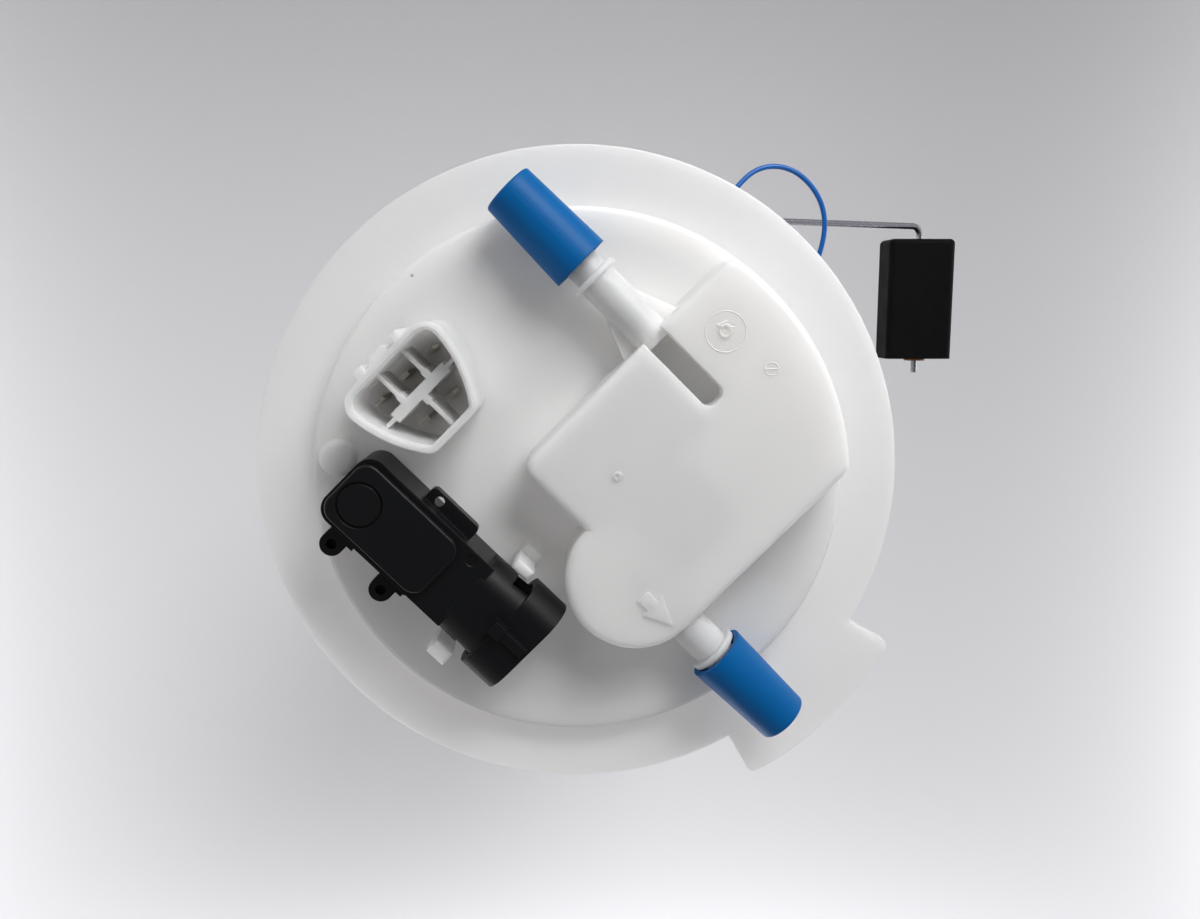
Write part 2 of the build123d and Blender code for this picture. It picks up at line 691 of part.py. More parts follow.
def connector_shroud():
    """The upright socket with its cells, keys and latch block."""
    wall = raised(shroud_plan(0), ROOF_UNDER, SHROUD_TOP)
    hollow = raised(shroud_plan(SHROUD_WALL), SHROUD_FLOOR, SHROUD_TOP + 1)
    hollow += raised(shroud_plan(SHROUD_WALL - SHROUD_LEDGE), SHROUD_TOP - SHROUD_LEDGE, SHROUD_TOP + 1)
    x_mid = (BLADE_BACK_X + BLADE_FRONT_X) / 2
    x_back = SHROUD_BACK + SHROUD_WALL / 2
    x_front = SHROUD_BACK + SHROUD_DEPTH - SHROUD_WALL / 2
    half = PARTITION_T / 2
    z0 = SHROUD_FLOOR - ROOT
    reach = LAND_W / 2 + LAND_NUB
    bars = block(x_mid - half, x_mid + half, SHROUD_Y - SHROUD_BACK_W / 2, SHROUD_Y + SHROUD_BACK_W / 2,
                 z0, PARTITION_TOP)
    bars += block(x_mid - LAND_W / 2, x_mid + LAND_W / 2, SHROUD_Y - LAND_LENGTH / 2,
                  SHROUD_Y + LAND_LENGTH / 2, z0, PARTITION_TOP)
    for k in (-0.5, 0.5):
        y = SHROUD_Y + k * BLADE_PITCH
        bars += block(x_back, x_mid, y - half, y + half, z0, PARTITION_TOP)
        bars += block(x_mid - reach, x_mid, y - LAND_NUB / 2, y + LAND_NUB / 2, z0, PARTITION_TOP)
    bars += block(x_mid, x_front, SHROUD_Y - half, SHROUD_Y + half, z0, PARTITION_TOP)
    bars += block(x_mid, x_mid + reach, SHROUD_Y - LAND_NUB / 2, SHROUD_Y + LAND_NUB / 2, z0, PARTITION_TOP)
    shape = wall - hollow + (bars & wall)
    x_out = SHROUD_BACK - KEY_PROUD
    for k in (-1, 1):
        y = SHROUD_Y + k * KEY_SPREAD
        shape += block(x_out, SHROUD_BACK + ROOT, y - KEY_W / 2, y + KEY_W / 2, DISC_TOP - ROOT,
                       SHROUD_TOP - KEY_STOP)
    shape += block(SHROUD_BACK - BAND_PROUD, SHROUD_BACK + ROOT, SHROUD_Y - BAND_W / 2,
                   SHROUD_Y + BAND_W / 2, DISC_TOP - ROOT, SHROUD_TOP - BAND_STOP)
    latch = block(x_out, SHROUD_BACK + ROOT, SHROUD_Y - LATCH_W / 2, SHROUD_Y + LATCH_W / 2,
                  SHROUD_TOP - LATCH_DROP - LATCH_H, SHROUD_TOP - LATCH_DROP)
    return shape + fillet(latch.edges().filter_by(Axis.Z).sort_by(Axis.X)[:2], LATCH_CORNER_R)


def clip_arms():
    """Two upright arms beside the sensor's neck, one close and one stood off on a web, and the stub."""
    x0 = NECK_X + CLIP_START
    x1 = x0 + CLIP_L
    shape = None
    for side, inner, outer in CLIP_SPANS:
        ya = SENSOR_Y + side * inner
        yb = SENSOR_Y + side * outer
        arm = block(x0, x1, min(ya, yb), max(ya, yb), DISC_TOP - ROOT, DISC_TOP + CLIP_H)
        arm = chamfer(arm.edges().group_by(Axis.Z)[-1], CLIP_CHAMFER)
        y_web = SENSOR_Y + side * CLIP_SPANS[0][1]
        foot = yb + side * CLIP_FOOT
        arm += block(x0, x1, min(y_web, foot), max(y_web, foot), DISC_TOP - ROOT, DISC_TOP + CLIP_FOOT)
        shape = arm if shape is None else shape + arm
    stub_x = SENSOR_BACK - STUB_R - STUB_GAP
    stub = post(STUB_R, DISC_TOP - ROOT, DISC_TOP + STUB_RISE, (stub_x, SENSOR_Y - STUB_SHIFT))
    return shape + fillet(stub.edges().group_by(Axis.Z)[-1], EDGE_R)


def barb(z_top, z_bottom, at, ridges):
    """A hose barb with its ridges at the lower end, each widening upwards."""
    shape = post(NIPPLE_R - BARB_RISE, z_bottom, z_top, at)
    for k in range(ridges):
        z = z_bottom + (k + 0.5) * BARB_PITCH
        shape += Pos(at[0], at[1], z) * Cone(NIPPLE_R - BARB_RISE - BARB_LEAD, NIPPLE_R, BARB_PITCH)
    return shape


def flange_cover():
    """The whole flange moulding."""
    hose_at = (LOBE_X, SUPPLY_Y)
    z_cut = ROOF_UNDER - RIB_DROP - 1
    shape = rim_and_disc() + roof_ribs() + chamber() + flow_arrow() + ring_marks() + gusset()
    shape += connector_shroud()
    for pocket in chamber_pockets():
        shape -= pocket
    shape += clip_arms()
    shape += pipe(CHAMBER_BACK + PIPE_ROOT, VENT_COLLAR_X, VENT_END_X, VENT_PIPE_Y)
    shape += pipe(CHAMBER_FRONT - PIPE_ROOT, SUPPLY_COLLAR_X, SUPPLY_END_X, SUPPLY_Y)
    shape += post(HOSE_BOSS_R, HOSE_TOP + HOSE_GAP, ROOF_UNDER + ROOT, hose_at)
    shape += barb(HOSE_TOP + HOSE_GAP + ROOT, HOSE_TOP - HOSE_OVERLAP, hose_at, 2)
    shape -= bar_x(PIPE_BORE_R, VENT_END_X - 1, VENT_DROP_X + PIPE_BORE_R, VENT_PIPE_Y, PIPE_Z)
    shape -= post(DROP_R, VAPOUR_Z - VAPOUR_R - ROOT, PIPE_Z, (VENT_DROP_X, VENT_PIPE_Y))
    shape -= bar_x(VAPOUR_R, VENT_DROP_X, VALVE_X, VENT_PIPE_Y, VAPOUR_Z)
    shape -= bar_x(PIPE_BORE_R, LOBE_X, SUPPLY_END_X + 1, SUPPLY_Y, PIPE_Z)
    shape -= post(NIPPLE_BORE_R, HOSE_TOP - HOSE_OVERLAP - 1, PIPE_Z, hose_at)
    shape -= post(PORT_R + GROMMET_WALL, z_cut, DISC_TOP + 1, (PORT_X, SENSOR_Y))
    shape -= post(VALVE_R + VALVE_FIT, z_cut, VALVE_TOP + VALVE_HEADROOM, (VALVE_X, VALVE_Y))
    shape -= post(VALVE_COLLAR_R + VALVE_FIT, z_cut, ROOF_UNDER, (VALVE_X, VALVE_Y))
    for x, y in BLADE_PLACES:
        shape -= block(x - BLADE_T / 2, x + BLADE_T / 2, y - BLADE_W / 2, y + BLADE_W / 2,
                       z_cut, SHROUD_FLOOR + 1)
    shape = turned(shape)
    for at in rod_places():
        shape += post(ROD_BOSS_R, -ROD_BOSS_DROP, ROOF_UNDER + ROOT, at)
        shape -= post(ROD_R, -ROD_BOSS_DROP - 1, ROD_SOCKET_TOP, at)
    return shape


def connector_terminals():
    """Five blades with chamfered tips, three at the back and two at the front."""
    blades = []
    for x, y in BLADE_PLACES:
        blade = block(x - BLADE_T / 2, x + BLADE_T / 2, y - BLADE_W / 2, y + BLADE_W / 2,
                      -BLADE_DROP, PARTITION_TOP - BLADE_STOP)
        blade = chamfer(blade.edges().group_by(Axis.Z)[-1].filter_by(Axis.Y), BLADE_T * 0.3)
        blades.append(turned(blade))
    return Compound(children=blades)


def harness_plug():
    """The plug pushed onto the blades from below."""
    shape = block(PLUG_X0, PLUG_X1, SHROUD_Y - PLUG_HALF_W, SHROUD_Y + PLUG_HALF_W, -PLUG_DROP, -PLUG_GAP)
    shape = fillet(shape.edges().filter_by(Axis.Z), EDGE_R)
    for x, y in BLADE_PLACES:
        shape -= block(x - BLADE_T / 2, x + BLADE_T / 2, y - BLADE_W / 2, y + BLADE_W / 2,
                       -BLADE_DROP - BLADE_END_GAP, 0)
    return turned(shape)


def sensor_section(x, width, height, corner):
    """A rounded section across the sensor, at one place along it."""
    return Plane.YZ.offset(x) * Pos(SENSOR_Y, SENSOR_Z) * RectangleRounded(width, height, corner)


def sensor_lugs(shape):
    """Adds the two round lugs on their shelf and the square tab on the other side."""
    x0 = SENSOR_BACK
    edge = SENSOR_Y - BODY_W / 2
    z1 = SENSOR_TOP - EAR_DROP
    z0 = z1 - EAR_T
    shape += block(x0 + SHELF_START, x0 + SHELF_START + SHELF_L, edge - SHELF_W, SENSOR_Y, z0, z1)
    for k in (0, 1):
        x = x0 + EAR_FIRST + k * EAR_SPACING
        y = edge - EAR_REACH
        shape += post(EAR_R, z0, z1, (x, y))
        shape += block(x - EAR_R, x + EAR_R, y, SENSOR_Y, z0, z1)
        shape += block(x - EAR_R, x + EAR_R + EAR_ROOT, edge - SHELF_W - EAR_ROOT / 2, SENSOR_Y, z0, z1)
        shape -= post(EAR_HOLE_R, z1 - EAR_HOLE_DEPTH, z1 + 1, (x, y))
    side = SENSOR_Y + BODY_W / 2
    x1 = x0 + SIDE_TAB_START
    tab = block(x1, x1 + SIDE_TAB_L, side - 1, side + SIDE_TAB_REACH, z0, z1)
    shape += fillet(tab.edges().filter_by(Axis.Z).sort_by(Axis.Y)[-2:], SIDE_TAB_CORNER_R)
    hole = (x1 + SIDE_TAB_HOLE_IN, side + SIDE_TAB_REACH / 2)
    return shape - post(SIDE_TAB_HOLE_R, z0 - 1, z1 + 1, hole)


def sensor_housing():
    """The black sensor moulding: body, lugs, port, neck and its own socket with a latch rail."""
    half = BODY_W / 2
    body = block(SENSOR_BACK, NECK_X + 1, SENSOR_Y - half, SENSOR_Y + half, SENSOR_BASE, SENSOR_TOP)
    body = fillet(body.edges().filter_by(Axis.Z).sort_by(Axis.X)[:2], BODY_R)
    neck = loft([sensor_section(NECK_X, NECK_START_W, BODY_H, NECK_R),
                 sensor_section(MOUTH_X, NECK_END_W, BODY_H, NECK_R)])
    mouth = extrude(sensor_section(MOUTH_X, MOUTH_W, MOUTH_H, MOUTH_R), MOUTH_L)
    shape = sensor_lugs(body + neck + mouth)
    shape += post(PORT_R, -PORT_DROP, SENSOR_BASE + 1, (PORT_X, SENSOR_Y))
    shape -= post(PORT_R - PORT_WALL, -PORT_DROP - 1, SENSOR_BASE + PORT_WALL, (PORT_X, SENSOR_Y))
    hollow = sensor_section(MOUTH_END - MOUTH_DEPTH, MOUTH_W - 2 * MOUTH_WALL, MOUTH_H - 2 * MOUTH_WALL,
                            MOUTH_R - MOUTH_WALL)
    shape -= extrude(hollow, MOUTH_DEPTH + 1)
    z_top = SENSOR_Z + MOUTH_H / 2
    shape += block(MOUTH_X, MOUTH_END - RAIL_STOP, SENSOR_Y - RAIL_W / 2, SENSOR_Y + RAIL_W / 2,
                   z_top - ROOT, z_top + RAIL_H)
    shape += block(MOUTH_X - RAIL_BUMP / 2, MOUTH_X + RAIL_BUMP / 2, SENSOR_Y - RAIL_BUMP / 2,
                   SENSOR_Y + RAIL_BUMP / 2, SENSOR_TOP - ROOT, z_top + RAIL_BUMP_H)
    dimple = (NECK_X - DIMPLE_BACK, SENSOR_Y + DIMPLE_SIDE)
    shape -= post(DIMPLE_R, SENSOR_TOP - DIMPLE_DEPTH, SENSOR_TOP + 1, dimple)
    return turned(shape)


def sensor_lid():
    """The raised cover plate with its round dial recess."""
    x0 = SENSOR_BACK + LID_INSET
    plate = Pos(x0 + LID_L / 2, SENSOR_Y) * RectangleRounded(LID_L, LID_W, LID_R)
    shape = raised(plate, SENSOR_TOP, SENSOR_TOP + LID_T)
    shape = fillet(shape.edges().group_by(Axis.Z)[-1], LID_EDGE_R)
    dial = (SENSOR_BACK + DIAL_INSET, SENSOR_Y - DIAL_SHIFT)
    z1 = SENSOR_TOP + LID_T
    shape -= tube(DIAL_R, DIAL_R - DIAL_GROOVE, z1 - DIAL_GROOVE, z1 + 1, dial)
    return turned(shape)


def sensor_terminals():
    """Three square pins in the sensor's socket."""
    pins = []
    half = SENSOR_PIN_W / 2
    x0 = MOUTH_END - MOUTH_DEPTH
    for k in (-1, 0, 1):
        y = SENSOR_Y + k * SENSOR_PIN_PITCH
        pins.append(turned(block(x0, MOUTH_END - SENSOR_PIN_STOP, y - half, y + half, SENSOR_Z - half,
                                 SENSOR_Z + half)))
    return Compound(children=pins)


def sensor_grommet():
    """The rubber seal between the sensor's port and the disc."""
    at = (PORT_X, SENSOR_Y)
    shape = post(PORT_R + GROMMET_WALL, ROOF_UNDER, SENSOR_BASE, at)
    shape += post(PORT_R + GROMMET_WALL + GROMMET_LIP, DISC_TOP, SENSOR_BASE, at)
    return turned(shape - post(PORT_R, ROOF_UNDER - 1, SENSOR_BASE + 1, at))


def cap(x_mouth, side, y):
    """A protective cap: tapered outside, with a wide mouth and a narrower bore that grips the nipple."""
    depth = CAP_LENGTH - CAP_END_T
    grip = PIPE_R + CAP_GRIP
    profile = Polyline((CAP_MOUTH_BORE_R, 0), (CAP_MOUTH_R, 0), (CAP_TIP_R, CAP_LENGTH), (0, CAP_LENGTH),
                       (0, depth), (grip, depth), (grip, CAP_STEP), (CAP_STEP_BORE_R, CAP_STEP), close=True)
    shell = revolve(Plane.XZ * make_face(profile), Axis.Z)
    tip = shell.edges().filter_by(GeomType.CIRCLE).sort_by(Axis.Z)[-1]
    shell = fillet(tip, CAP_TIP_ROUND)
    return turned(Pos(x_mouth, y, PIPE_Z) * Rot(0, 90 * side, 0) * shell)


def guide_rod(at):
    """One steel rod, pressed into its flange boss, with a groove for its end clip."""
    bottom = CLIP_Z - CLIP_RING_T - ROD_TAIL
    rod = post(ROD_R, bottom, ROD_SOCKET_TOP, at)
    rod = chamfer(rod.edges().group_by(Axis.Z)[0], ROD_CHAMFER)
    return rod - tube(ROD_R + 1, ROD_R - GROOVE_DEPTH, CLIP_Z - CLIP_RING_T - CLIP_PLAY, CLIP_Z, at)


def rod_clips():
    """Spring clips in the rods' grooves, which stop the reservoir from dropping off."""
    clips = []
    for at in rod_places():
        ring = tube(CLIP_RING_R, ROD_R - GROOVE_DEPTH + ROD_FIT, CLIP_Z - CLIP_RING_T, CLIP_Z - ROD_FIT, at)
        ring -= block(at[0] - CLIP_MOUTH_W / 2, at[0] + CLIP_MOUTH_W / 2, at[1], at[1] + CLIP_RING_R + 1,
                      CLIP_Z - 2 * CLIP_RING_T, CLIP_Z + 1)
        clips.append(ring)
    return Compound(children=clips)


def lift_spring(at):
    """One coil spring between the flange boss and the reservoir lid, of six-sided wire to keep it light."""
    z0 = LID_TOP + SPRING_WIRE_R + SPRING_GAP
    height = -ROD_BOSS_DROP - SPRING_WIRE_R - SPRING_GAP - z0
    path = Helix(height / SPRING_TURNS, height, SPRING_R)
    section = Plane(origin=path @ 0, z_dir=path % 0) * RegularPolygon(SPRING_WIRE_R, SPRING_WIRE_SIDES)
    return Pos(at[0], at[1], z0) * sweep(section, path, is_frenet=True)


def vent_valve_body():
    """The valve's can, held up against the disc by its collar."""
    at = (VALVE_X, VALVE_Y)
    shape = tube(VALVE_R, VALVE_R - VALVE_WALL, -VALVE_DROP, VALVE_TOP, at)
    shape += tube(VALVE_R, VALVE_VENT_R, VALVE_TOP - VALVE_WALL, VALVE_TOP, at)
    shape += tube(VALVE_COLLAR_R, VALVE_R - VALVE_WALL / 2, ROOF_UNDER - VALVE_COLLAR_T, ROOF_UNDER, at)
    return turned(shape)


def vent_valve_cap():
    """The perforated bottom of the valve."""
    at = (VALVE_X, VALVE_Y)
    shape = post(VALVE_R, -VALVE_DROP - VALVE_CAP_T, -VALVE_DROP, at)
    for k in range(VALVE_HOLES):
        a = 2 * pi * k / VALVE_HOLES
        hole = (VALVE_X + VALVE_HOLE_CIRCLE * cos(a), VALVE_Y + VALVE_HOLE_CIRCLE * sin(a))
        shape -= post(VALVE_HOLE_R, -VALVE_DROP - VALVE_CAP_T - 1, -VALVE_DROP + 1, hole)
    return turned(shape)


def vent_valve_float():
    """The float that shuts the vent when fuel reaches it or the module tips over."""
    z0 = -VALVE_DROP + VALVE_SEAT_GAP
    z_tip = VALVE_TOP - VALVE_WALL - VALVE_LIFT
    r = VALVE_R - VALVE_WALL - VALVE_FLOAT_GAP
    shape = post(r, z0, z_tip - VALVE_TIP_H, (VALVE_X, VALVE_Y))
    tip = Cone(VALVE_TIP_R, VALVE_VENT_R / 2, VALVE_TIP_H)
    return turned(shape + Pos(VALVE_X, VALVE_Y, z_tip - VALVE_TIP_H / 2) * tip)


def reservoir_cup():
    """The cup: ribbed wall, floor with its intake, the sender's pad and the lid's pegs."""
    shape = post(CUP_R, CUP_BASE, CUP_RIM)
    shape = fillet(shape.edges().group_by(Axis.Z)[0], CUP_EDGE_R)
    shape -= post(CUP_INNER_R, CUP_BASE + CUP_FLOOR_T, CUP_RIM + 1)
    bead_top = CUP_RIM - STRAP_L - BEAD_GAP
    shape += tube(CUP_R + BEAD_PROUD, CUP_R - ROOT, bead_top - BEAD_H, bead_top)
    for heading in CUP_RIB_HEADINGS:
        rib = block(CUP_R - ROOT, CUP_R + BEAD_PROUD, -RIB_T / 2, RIB_T / 2,
                    CUP_BASE + CUP_EDGE_R + BEAD_GAP, bead_top - BEAD_H)
        shape += Rot(0, 0, heading) * rib
    pad = block(-PAD_HALF_W, PAD_HALF_W, CUP_INNER_R * 0.8, PAD_Y, PIVOT_Z - SENDER_DROP, CUP_RIM)
    shape += pad - post(CUP_INNER_R, CUP_BASE, 0)
    shape -= post(FOOT_RECESS_R, CUP_BASE - 1, CUP_BASE + FOOT_RECESS)
    shape -= post(INTAKE_R, CUP_BASE - 1, CUP_BASE + CUP_FLOOR_T + 1, INTAKE_AT)
    for heading in STRAP_HEADINGS:
        peg = block(CUP_R - ROOT, CUP_R + PEG_T, -PEG_W / 2, PEG_W / 2, PEG_Z, PEG_Z + PEG_H)
        shape += Rot(0, 0, heading) * peg
    return shape


def lid_straps():
    """The lid's three snap straps with their windows for the cup's pegs."""
    r0 = CUP_R + STRAP_GAP
    r1 = r0 + STRAP_T
    straps = []
    for heading in STRAP_HEADINGS:
        strap = block(r0, r1, -STRAP_W / 2, STRAP_W / 2, CUP_RIM - STRAP_L, LID_TOP)
        strap += block(CUP_R - STRAP_T, r1, -STRAP_W / 2, STRAP_W / 2, CUP_RIM + STRAP_GAP, LID_TOP)
        strap -= block(r0 - 1, r1 + 1, -PEG_W / 2 - PEG_GAP, PEG_W / 2 + PEG_GAP, PEG_Z - PEG_GAP,
                       PEG_Z + PEG_H + PEG_GAP)
        straps.append(Rot(0, 0, heading) * strap)
    return straps


def reservoir_lid():
    """The lid: plate, rod sleeves, pump holder, webs, regulator pocket, spill windows and snap straps."""
    shape = post(CUP_R, CUP_RIM, LID_TOP)
    shape = fillet(shape.edges().group_by(Axis.Z)[-1], EDGE_R)
    plug_r = CUP_INNER_R - LID_PLUG_GAP
    shape += tube(plug_r, plug_r - LID_PLUG_T, CUP_RIM - LID_PLUG_H, CUP_RIM + ROOT)
    z_in = LID_TOP - ROOT
    shape += post(HOLDER_R, LID_TOP - HOLDER_LENGTH, z_in, PUMP_AT)
    for x, y in rod_places():
        shape += post(SLEEVE_R, LID_TOP - SLEEVE_LENGTH, z_in, (x, y))
        reach = hypot(x - PUMP_AT[0], y - PUMP_AT[1])
        turn = degrees(atan2(y - PUMP_AT[1], x - PUMP_AT[0]))
        web = block(0, reach, -RIB_T / 2, RIB_T / 2, LID_TOP - WEB_DROP, z_in)
        shape += Pos(PUMP_AT[0], PUMP_AT[1], 0) * Rot(0, 0, turn) * web
    shape += post(REGULATOR_R + REGULATOR_WALL, CUP_RIM - REGULATOR_H, z_in, REGULATOR_AT)
    shape -= post(HOLDER_R - HOLDER_WALL, LID_TOP - HOLDER_LENGTH - 1, CUP_RIM, PUMP_AT)
    shape -= post(HOSE_R + HOSE_HOLE_GAP, CUP_RIM - 1, LID_TOP + 1, HOSE_AT)
    shape -= post(REGULATOR_R, CUP_RIM - REGULATOR_H + REGULATOR_FLOOR_T, LID_TOP + 1, REGULATOR_AT)
    shape -= post(REGULATOR_DRAIN_R, CUP_RIM - REGULATOR_H - 1, LID_TOP, REGULATOR_AT)
    for at in rod_places():
        shape -= post(ROD_R + ROD_FIT, LID_TOP - SLEEVE_LENGTH - 1, LID_TOP + 1, at)
    for heading in WINDOW_HEADINGS:
        window = Pos(CUP_R - WINDOW_INSET, 0) * RectangleRounded(WINDOW_W, WINDOW_L, WINDOW_R)
        shape -= Rot(0, 0, heading) * raised(window, CUP_RIM - 1, LID_TOP + 1)
    for strap in lid_straps():
        shape += strap
    return shape


def foot_valve():
    """The rubber disc over the cup's intake, held by its stem."""
    z0 = CUP_BASE + CUP_FLOOR_T
    return post(FOOT_VALVE_R, z0, z0 + FOOT_VALVE_T, INTAKE_AT)


def pump_case():
    """The rolled steel can of the pump, with an inward lip at each end."""
    shape = tube(PUMP_R, CASE_IN_R, PUMP_BOTTOM, PUMP_TOP, PUMP_AT)
    shape += tube(CASE_IN_R + ROOT, LIP_R, PUMP_BOTTOM, PUMP_BOTTOM + PUMP_LIP_T, PUMP_AT)
    shape += tube(CASE_IN_R + ROOT, LIP_R, PUMP_TOP - PUMP_LIP_T, PUMP_TOP, PUMP_AT)
    rims = [e for e in shape.edges().filter_by(GeomType.CIRCLE) if abs(e.radius - PUMP_R) < 0.01]
    return fillet(rims, PUMP_WALL * 0.7)


def brush_places():
    """Centres of the two brushes beside the commutator."""
    reach = COMMUTATOR_R + BRUSH_GAP + BRUSH_W / 2
    return [(PUMP_AT[0] + side * reach, PUMP_AT[1]) for side in (-1, 1)]


def pump_outlet_cover():
    """The pump's plastic end with its outlet nipple, upper bearing and brush pockets."""
    shape = post(CASE_IN_R, OUTLET_BASE, PUMP_TOP - PUMP_LIP_T, PUMP_AT)
    shape += post(LIP_R - LIP_GAP, PUMP_TOP - PUMP_LIP_T - ROOT, PUMP_TOP + COVER_RISE, PUMP_AT)
    z1 = PUMP_TOP + OUTLET_COVER_H
    shape += post(NIPPLE_R + HOLDER_WALL, PUMP_TOP, z1, HOSE_AT) & post(CASE_IN_R, PUMP_TOP, z1, PUMP_AT)
    shape += post(NIPPLE_R - BARB_RISE, PUMP_TOP, z1 + OUTLET_RISE, HOSE_AT)
    for k in (0, 1):
        z = z1 + OUTLET_RISE - (k + 0.5) * BARB_PITCH
        ridge = Cone(NIPPLE_R, NIPPLE_R - BARB_RISE - BARB_LEAD, BARB_PITCH)
        shape += Pos(HOSE_AT[0], HOSE_AT[1], z) * ridge
    shape -= post(NIPPLE_BORE_R, PUMP_TOP - OUTLET_PORT_DROP, z1 + OUTLET_RISE + 1, HOSE_AT)
    shape -= post(SHAFT_R + SHAFT_FIT, OUTLET_BASE - 1, SHAFT_TOP + SHAFT_END_GAP, PUMP_AT)
    for x, y in brush_places():
        shape -= block(x - BRUSH_W / 2, x + BRUSH_W / 2, y - BRUSH_W / 2, y + BRUSH_W / 2,
                       OUTLET_BASE - 1, OUTLET_BASE + BRUSH_W)
    return shape


def brushes():
    """Two carbon brushes that bear on the commutator."""
    half = BRUSH_W / 2
    z0 = OUTLET_BASE - COMMUTATOR_H + 1
    pair = [block(x - half, x + half, y - half, y + half, z0, OUTLET_BASE + BRUSH_W)
            for x, y in brush_places()]
    return Compound(children=pair)


def magnet(side):
    """One arc magnet against the can's wall."""
    shape = tube(CASE_IN_R, CASE_IN_R - MAGNET_T, MAGNET_Z, MAGNET_Z + MAGNET_LENGTH)
    half = radians(MAGNET_SPAN / 2)
    big = 2 * PUMP_R
    wedge = make_face(Polyline((0, 0), (big * cos(half), big * sin(half)), (big * 2, 0),
                               (big * cos(half), -big * sin(half)), close=True))
    wedge = raised(wedge, MAGNET_Z - 1, MAGNET_Z + MAGNET_LENGTH + 1)
    shape = shape & wedge
    return Pos(PUMP_AT[0], PUMP_AT[1], 0) * Rot(0, 0, 90 + 90 * side) * shape


def armature():
    """The wound core with its straight slots."""
    z0 = MAGNET_Z + (MAGNET_LENGTH - ARMATURE_LENGTH) / 2
    shape = tube(ARMATURE_R, SHAFT_R, z0, z0 + ARMATURE_LENGTH)
    for k in range(ARMATURE_SLOTS):
        slot = block(COMMUTATOR_R + 1, ARMATURE_R + 1, -ARMATURE_SLOT_W / 2, ARMATURE_SLOT_W / 2, z0 - 1,
                     z0 + ARMATURE_LENGTH + 1)
        shape -= Rot(0, 0, 360 / ARMATURE_SLOTS * k) * slot
    return Pos(PUMP_AT[0], PUMP_AT[1], 0) * shape


def commutator():
    """The copper barrel on the shaft under the outlet cover."""
    return tube(COMMUTATOR_R, SHAFT_R, OUTLET_BASE - COMMUTATOR_H, OUTLET_BASE - COMMUTATOR_GAP, PUMP_AT)


def impeller():
    """The vaned disc that pushes the fuel."""
    shape = tube(IMPELLER_R, SHAFT_R, IMPELLER_Z, IMPELLER_Z + IMPELLER_T)
    for k in range(IMPELLER_VANES):
        gap = block(IMPELLER_R - VANE_DEPTH, IMPELLER_R + 1, -VANE_GAP_W / 2, VANE_GAP_W / 2, IMPELLER_Z - 1,
                    IMPELLER_Z + IMPELLER_T + 1)
        shape -= Rot(0, 0, 360 / IMPELLER_VANES * k) * gap
    return Pos(PUMP_AT[0], PUMP_AT[1], 0) * shape


def impeller_ring():
    """The ring round the impeller with the upper plate and lower bearing above it."""
    top = RING_TOP + UPPER_PLATE_T
    shape = post(CASE_IN_R, INLET_TOP, top, PUMP_AT)
    shape -= post(IMPELLER_R + IMPELLER_GAP, INLET_TOP - 1, RING_TOP, PUMP_AT)
    shape -= post(NIPPLE_BORE_R, INLET_TOP, top + 1, (PUMP_AT[0] + CHANNEL_R, PUMP_AT[1]))
    return shape - post(SHAFT_R + SHAFT_FIT, INLET_TOP, top + 1, PUMP_AT)


def pump_inlet_cover():
    """The lower end of the pump with its inlet spout and thrust pad."""
    z0 = PUMP_BOTTOM + PUMP_LIP_T
    shape = post(CASE_IN_R, z0, INLET_TOP, PUMP_AT)
    shape += post(LIP_R - LIP_GAP, PUMP_BOTTOM, z0 + ROOT, PUMP_AT)
    shape += post(SPOUT_R, PUMP_BOTTOM - SPOUT_DROP, PUMP_BOTTOM + ROOT, INLET_AT)
    shape -= post(SPOUT_BORE_R, PUMP_BOTTOM - SPOUT_DROP - 1, INLET_TOP + 1, INLET_AT)
    return shape - post(SHAFT_R + SHAFT_FIT, SHAFT_BOTTOM, INLET_TOP + 1, PUMP_AT)


def pump_isolator():
    """The rubber sleeve between the pump and its holder."""
    return tube(HOLDER_R - HOLDER_WALL, PUMP_R, LID_TOP - HOLDER_LENGTH, PUMP_TOP, PUMP_AT)


def inlet_strainer():
    """The flat filter sock on the pump's inlet, cut to the cup's round wall, with its collar."""
    z1 = PUMP_BOTTOM - SPOUT_DROP
    plan = Pos(INLET_AT[0] + STRAINER_SHIFT[0], INLET_AT[1] + STRAINER_SHIFT[1])
    plan = plan * RectangleRounded(STRAINER_W, STRAINER_L, STRAINER_CORNER_R)
    plan = plan & Circle(CUP_INNER_R - STRAINER_GAP)
    shape = raised(plan, z1 - STRAINER_T, z1)
    shape = fillet(shape.edges().group_by(Axis.Z)[-1], STRAINER_EDGE_R)
    return shape + tube(SPOUT_R + STRAINER_COLLAR_T, SPOUT_R, z1 - ROOT, z1 + STRAINER_COLLAR_H, INLET_AT)


def check_valve_poppet():
    """The poppet that keeps pressure in the line."""
    z = PUMP_TOP + POPPET_LIFT
    return post(NIPPLE_BORE_R - POPPET_GAP, z, z + POPPET_LENGTH, HOSE_AT)


def pressure_regulator():
    """The regulator can, standing in its lid pocket."""
    z0 = CUP_RIM - REGULATOR_H + REGULATOR_FLOOR_T
    shape = post(REGULATOR_R - ROD_FIT, z0, LID_TOP, REGULATOR_AT)
    shape += post(REGULATOR_NOSE_R, LID_TOP - ROOT, LID_TOP + REGULATOR_NOSE_H, REGULATOR_AT)
    return shape - post(REGULATOR_NOSE_R / 3, LID_TOP, LID_TOP + REGULATOR_NOSE_H + 1, REGULATOR_AT)


def fuel_hose():
    """The hose between the pump's outlet and the flange, which folds as the reservoir rises."""
    z0 = PUMP_TOP + OUTLET_COVER_H + OUTLET_RISE - HOSE_OVERLAP
    return tube(HOSE_R, HOSE_BORE_R, z0, HOSE_TOP, HOSE_AT)


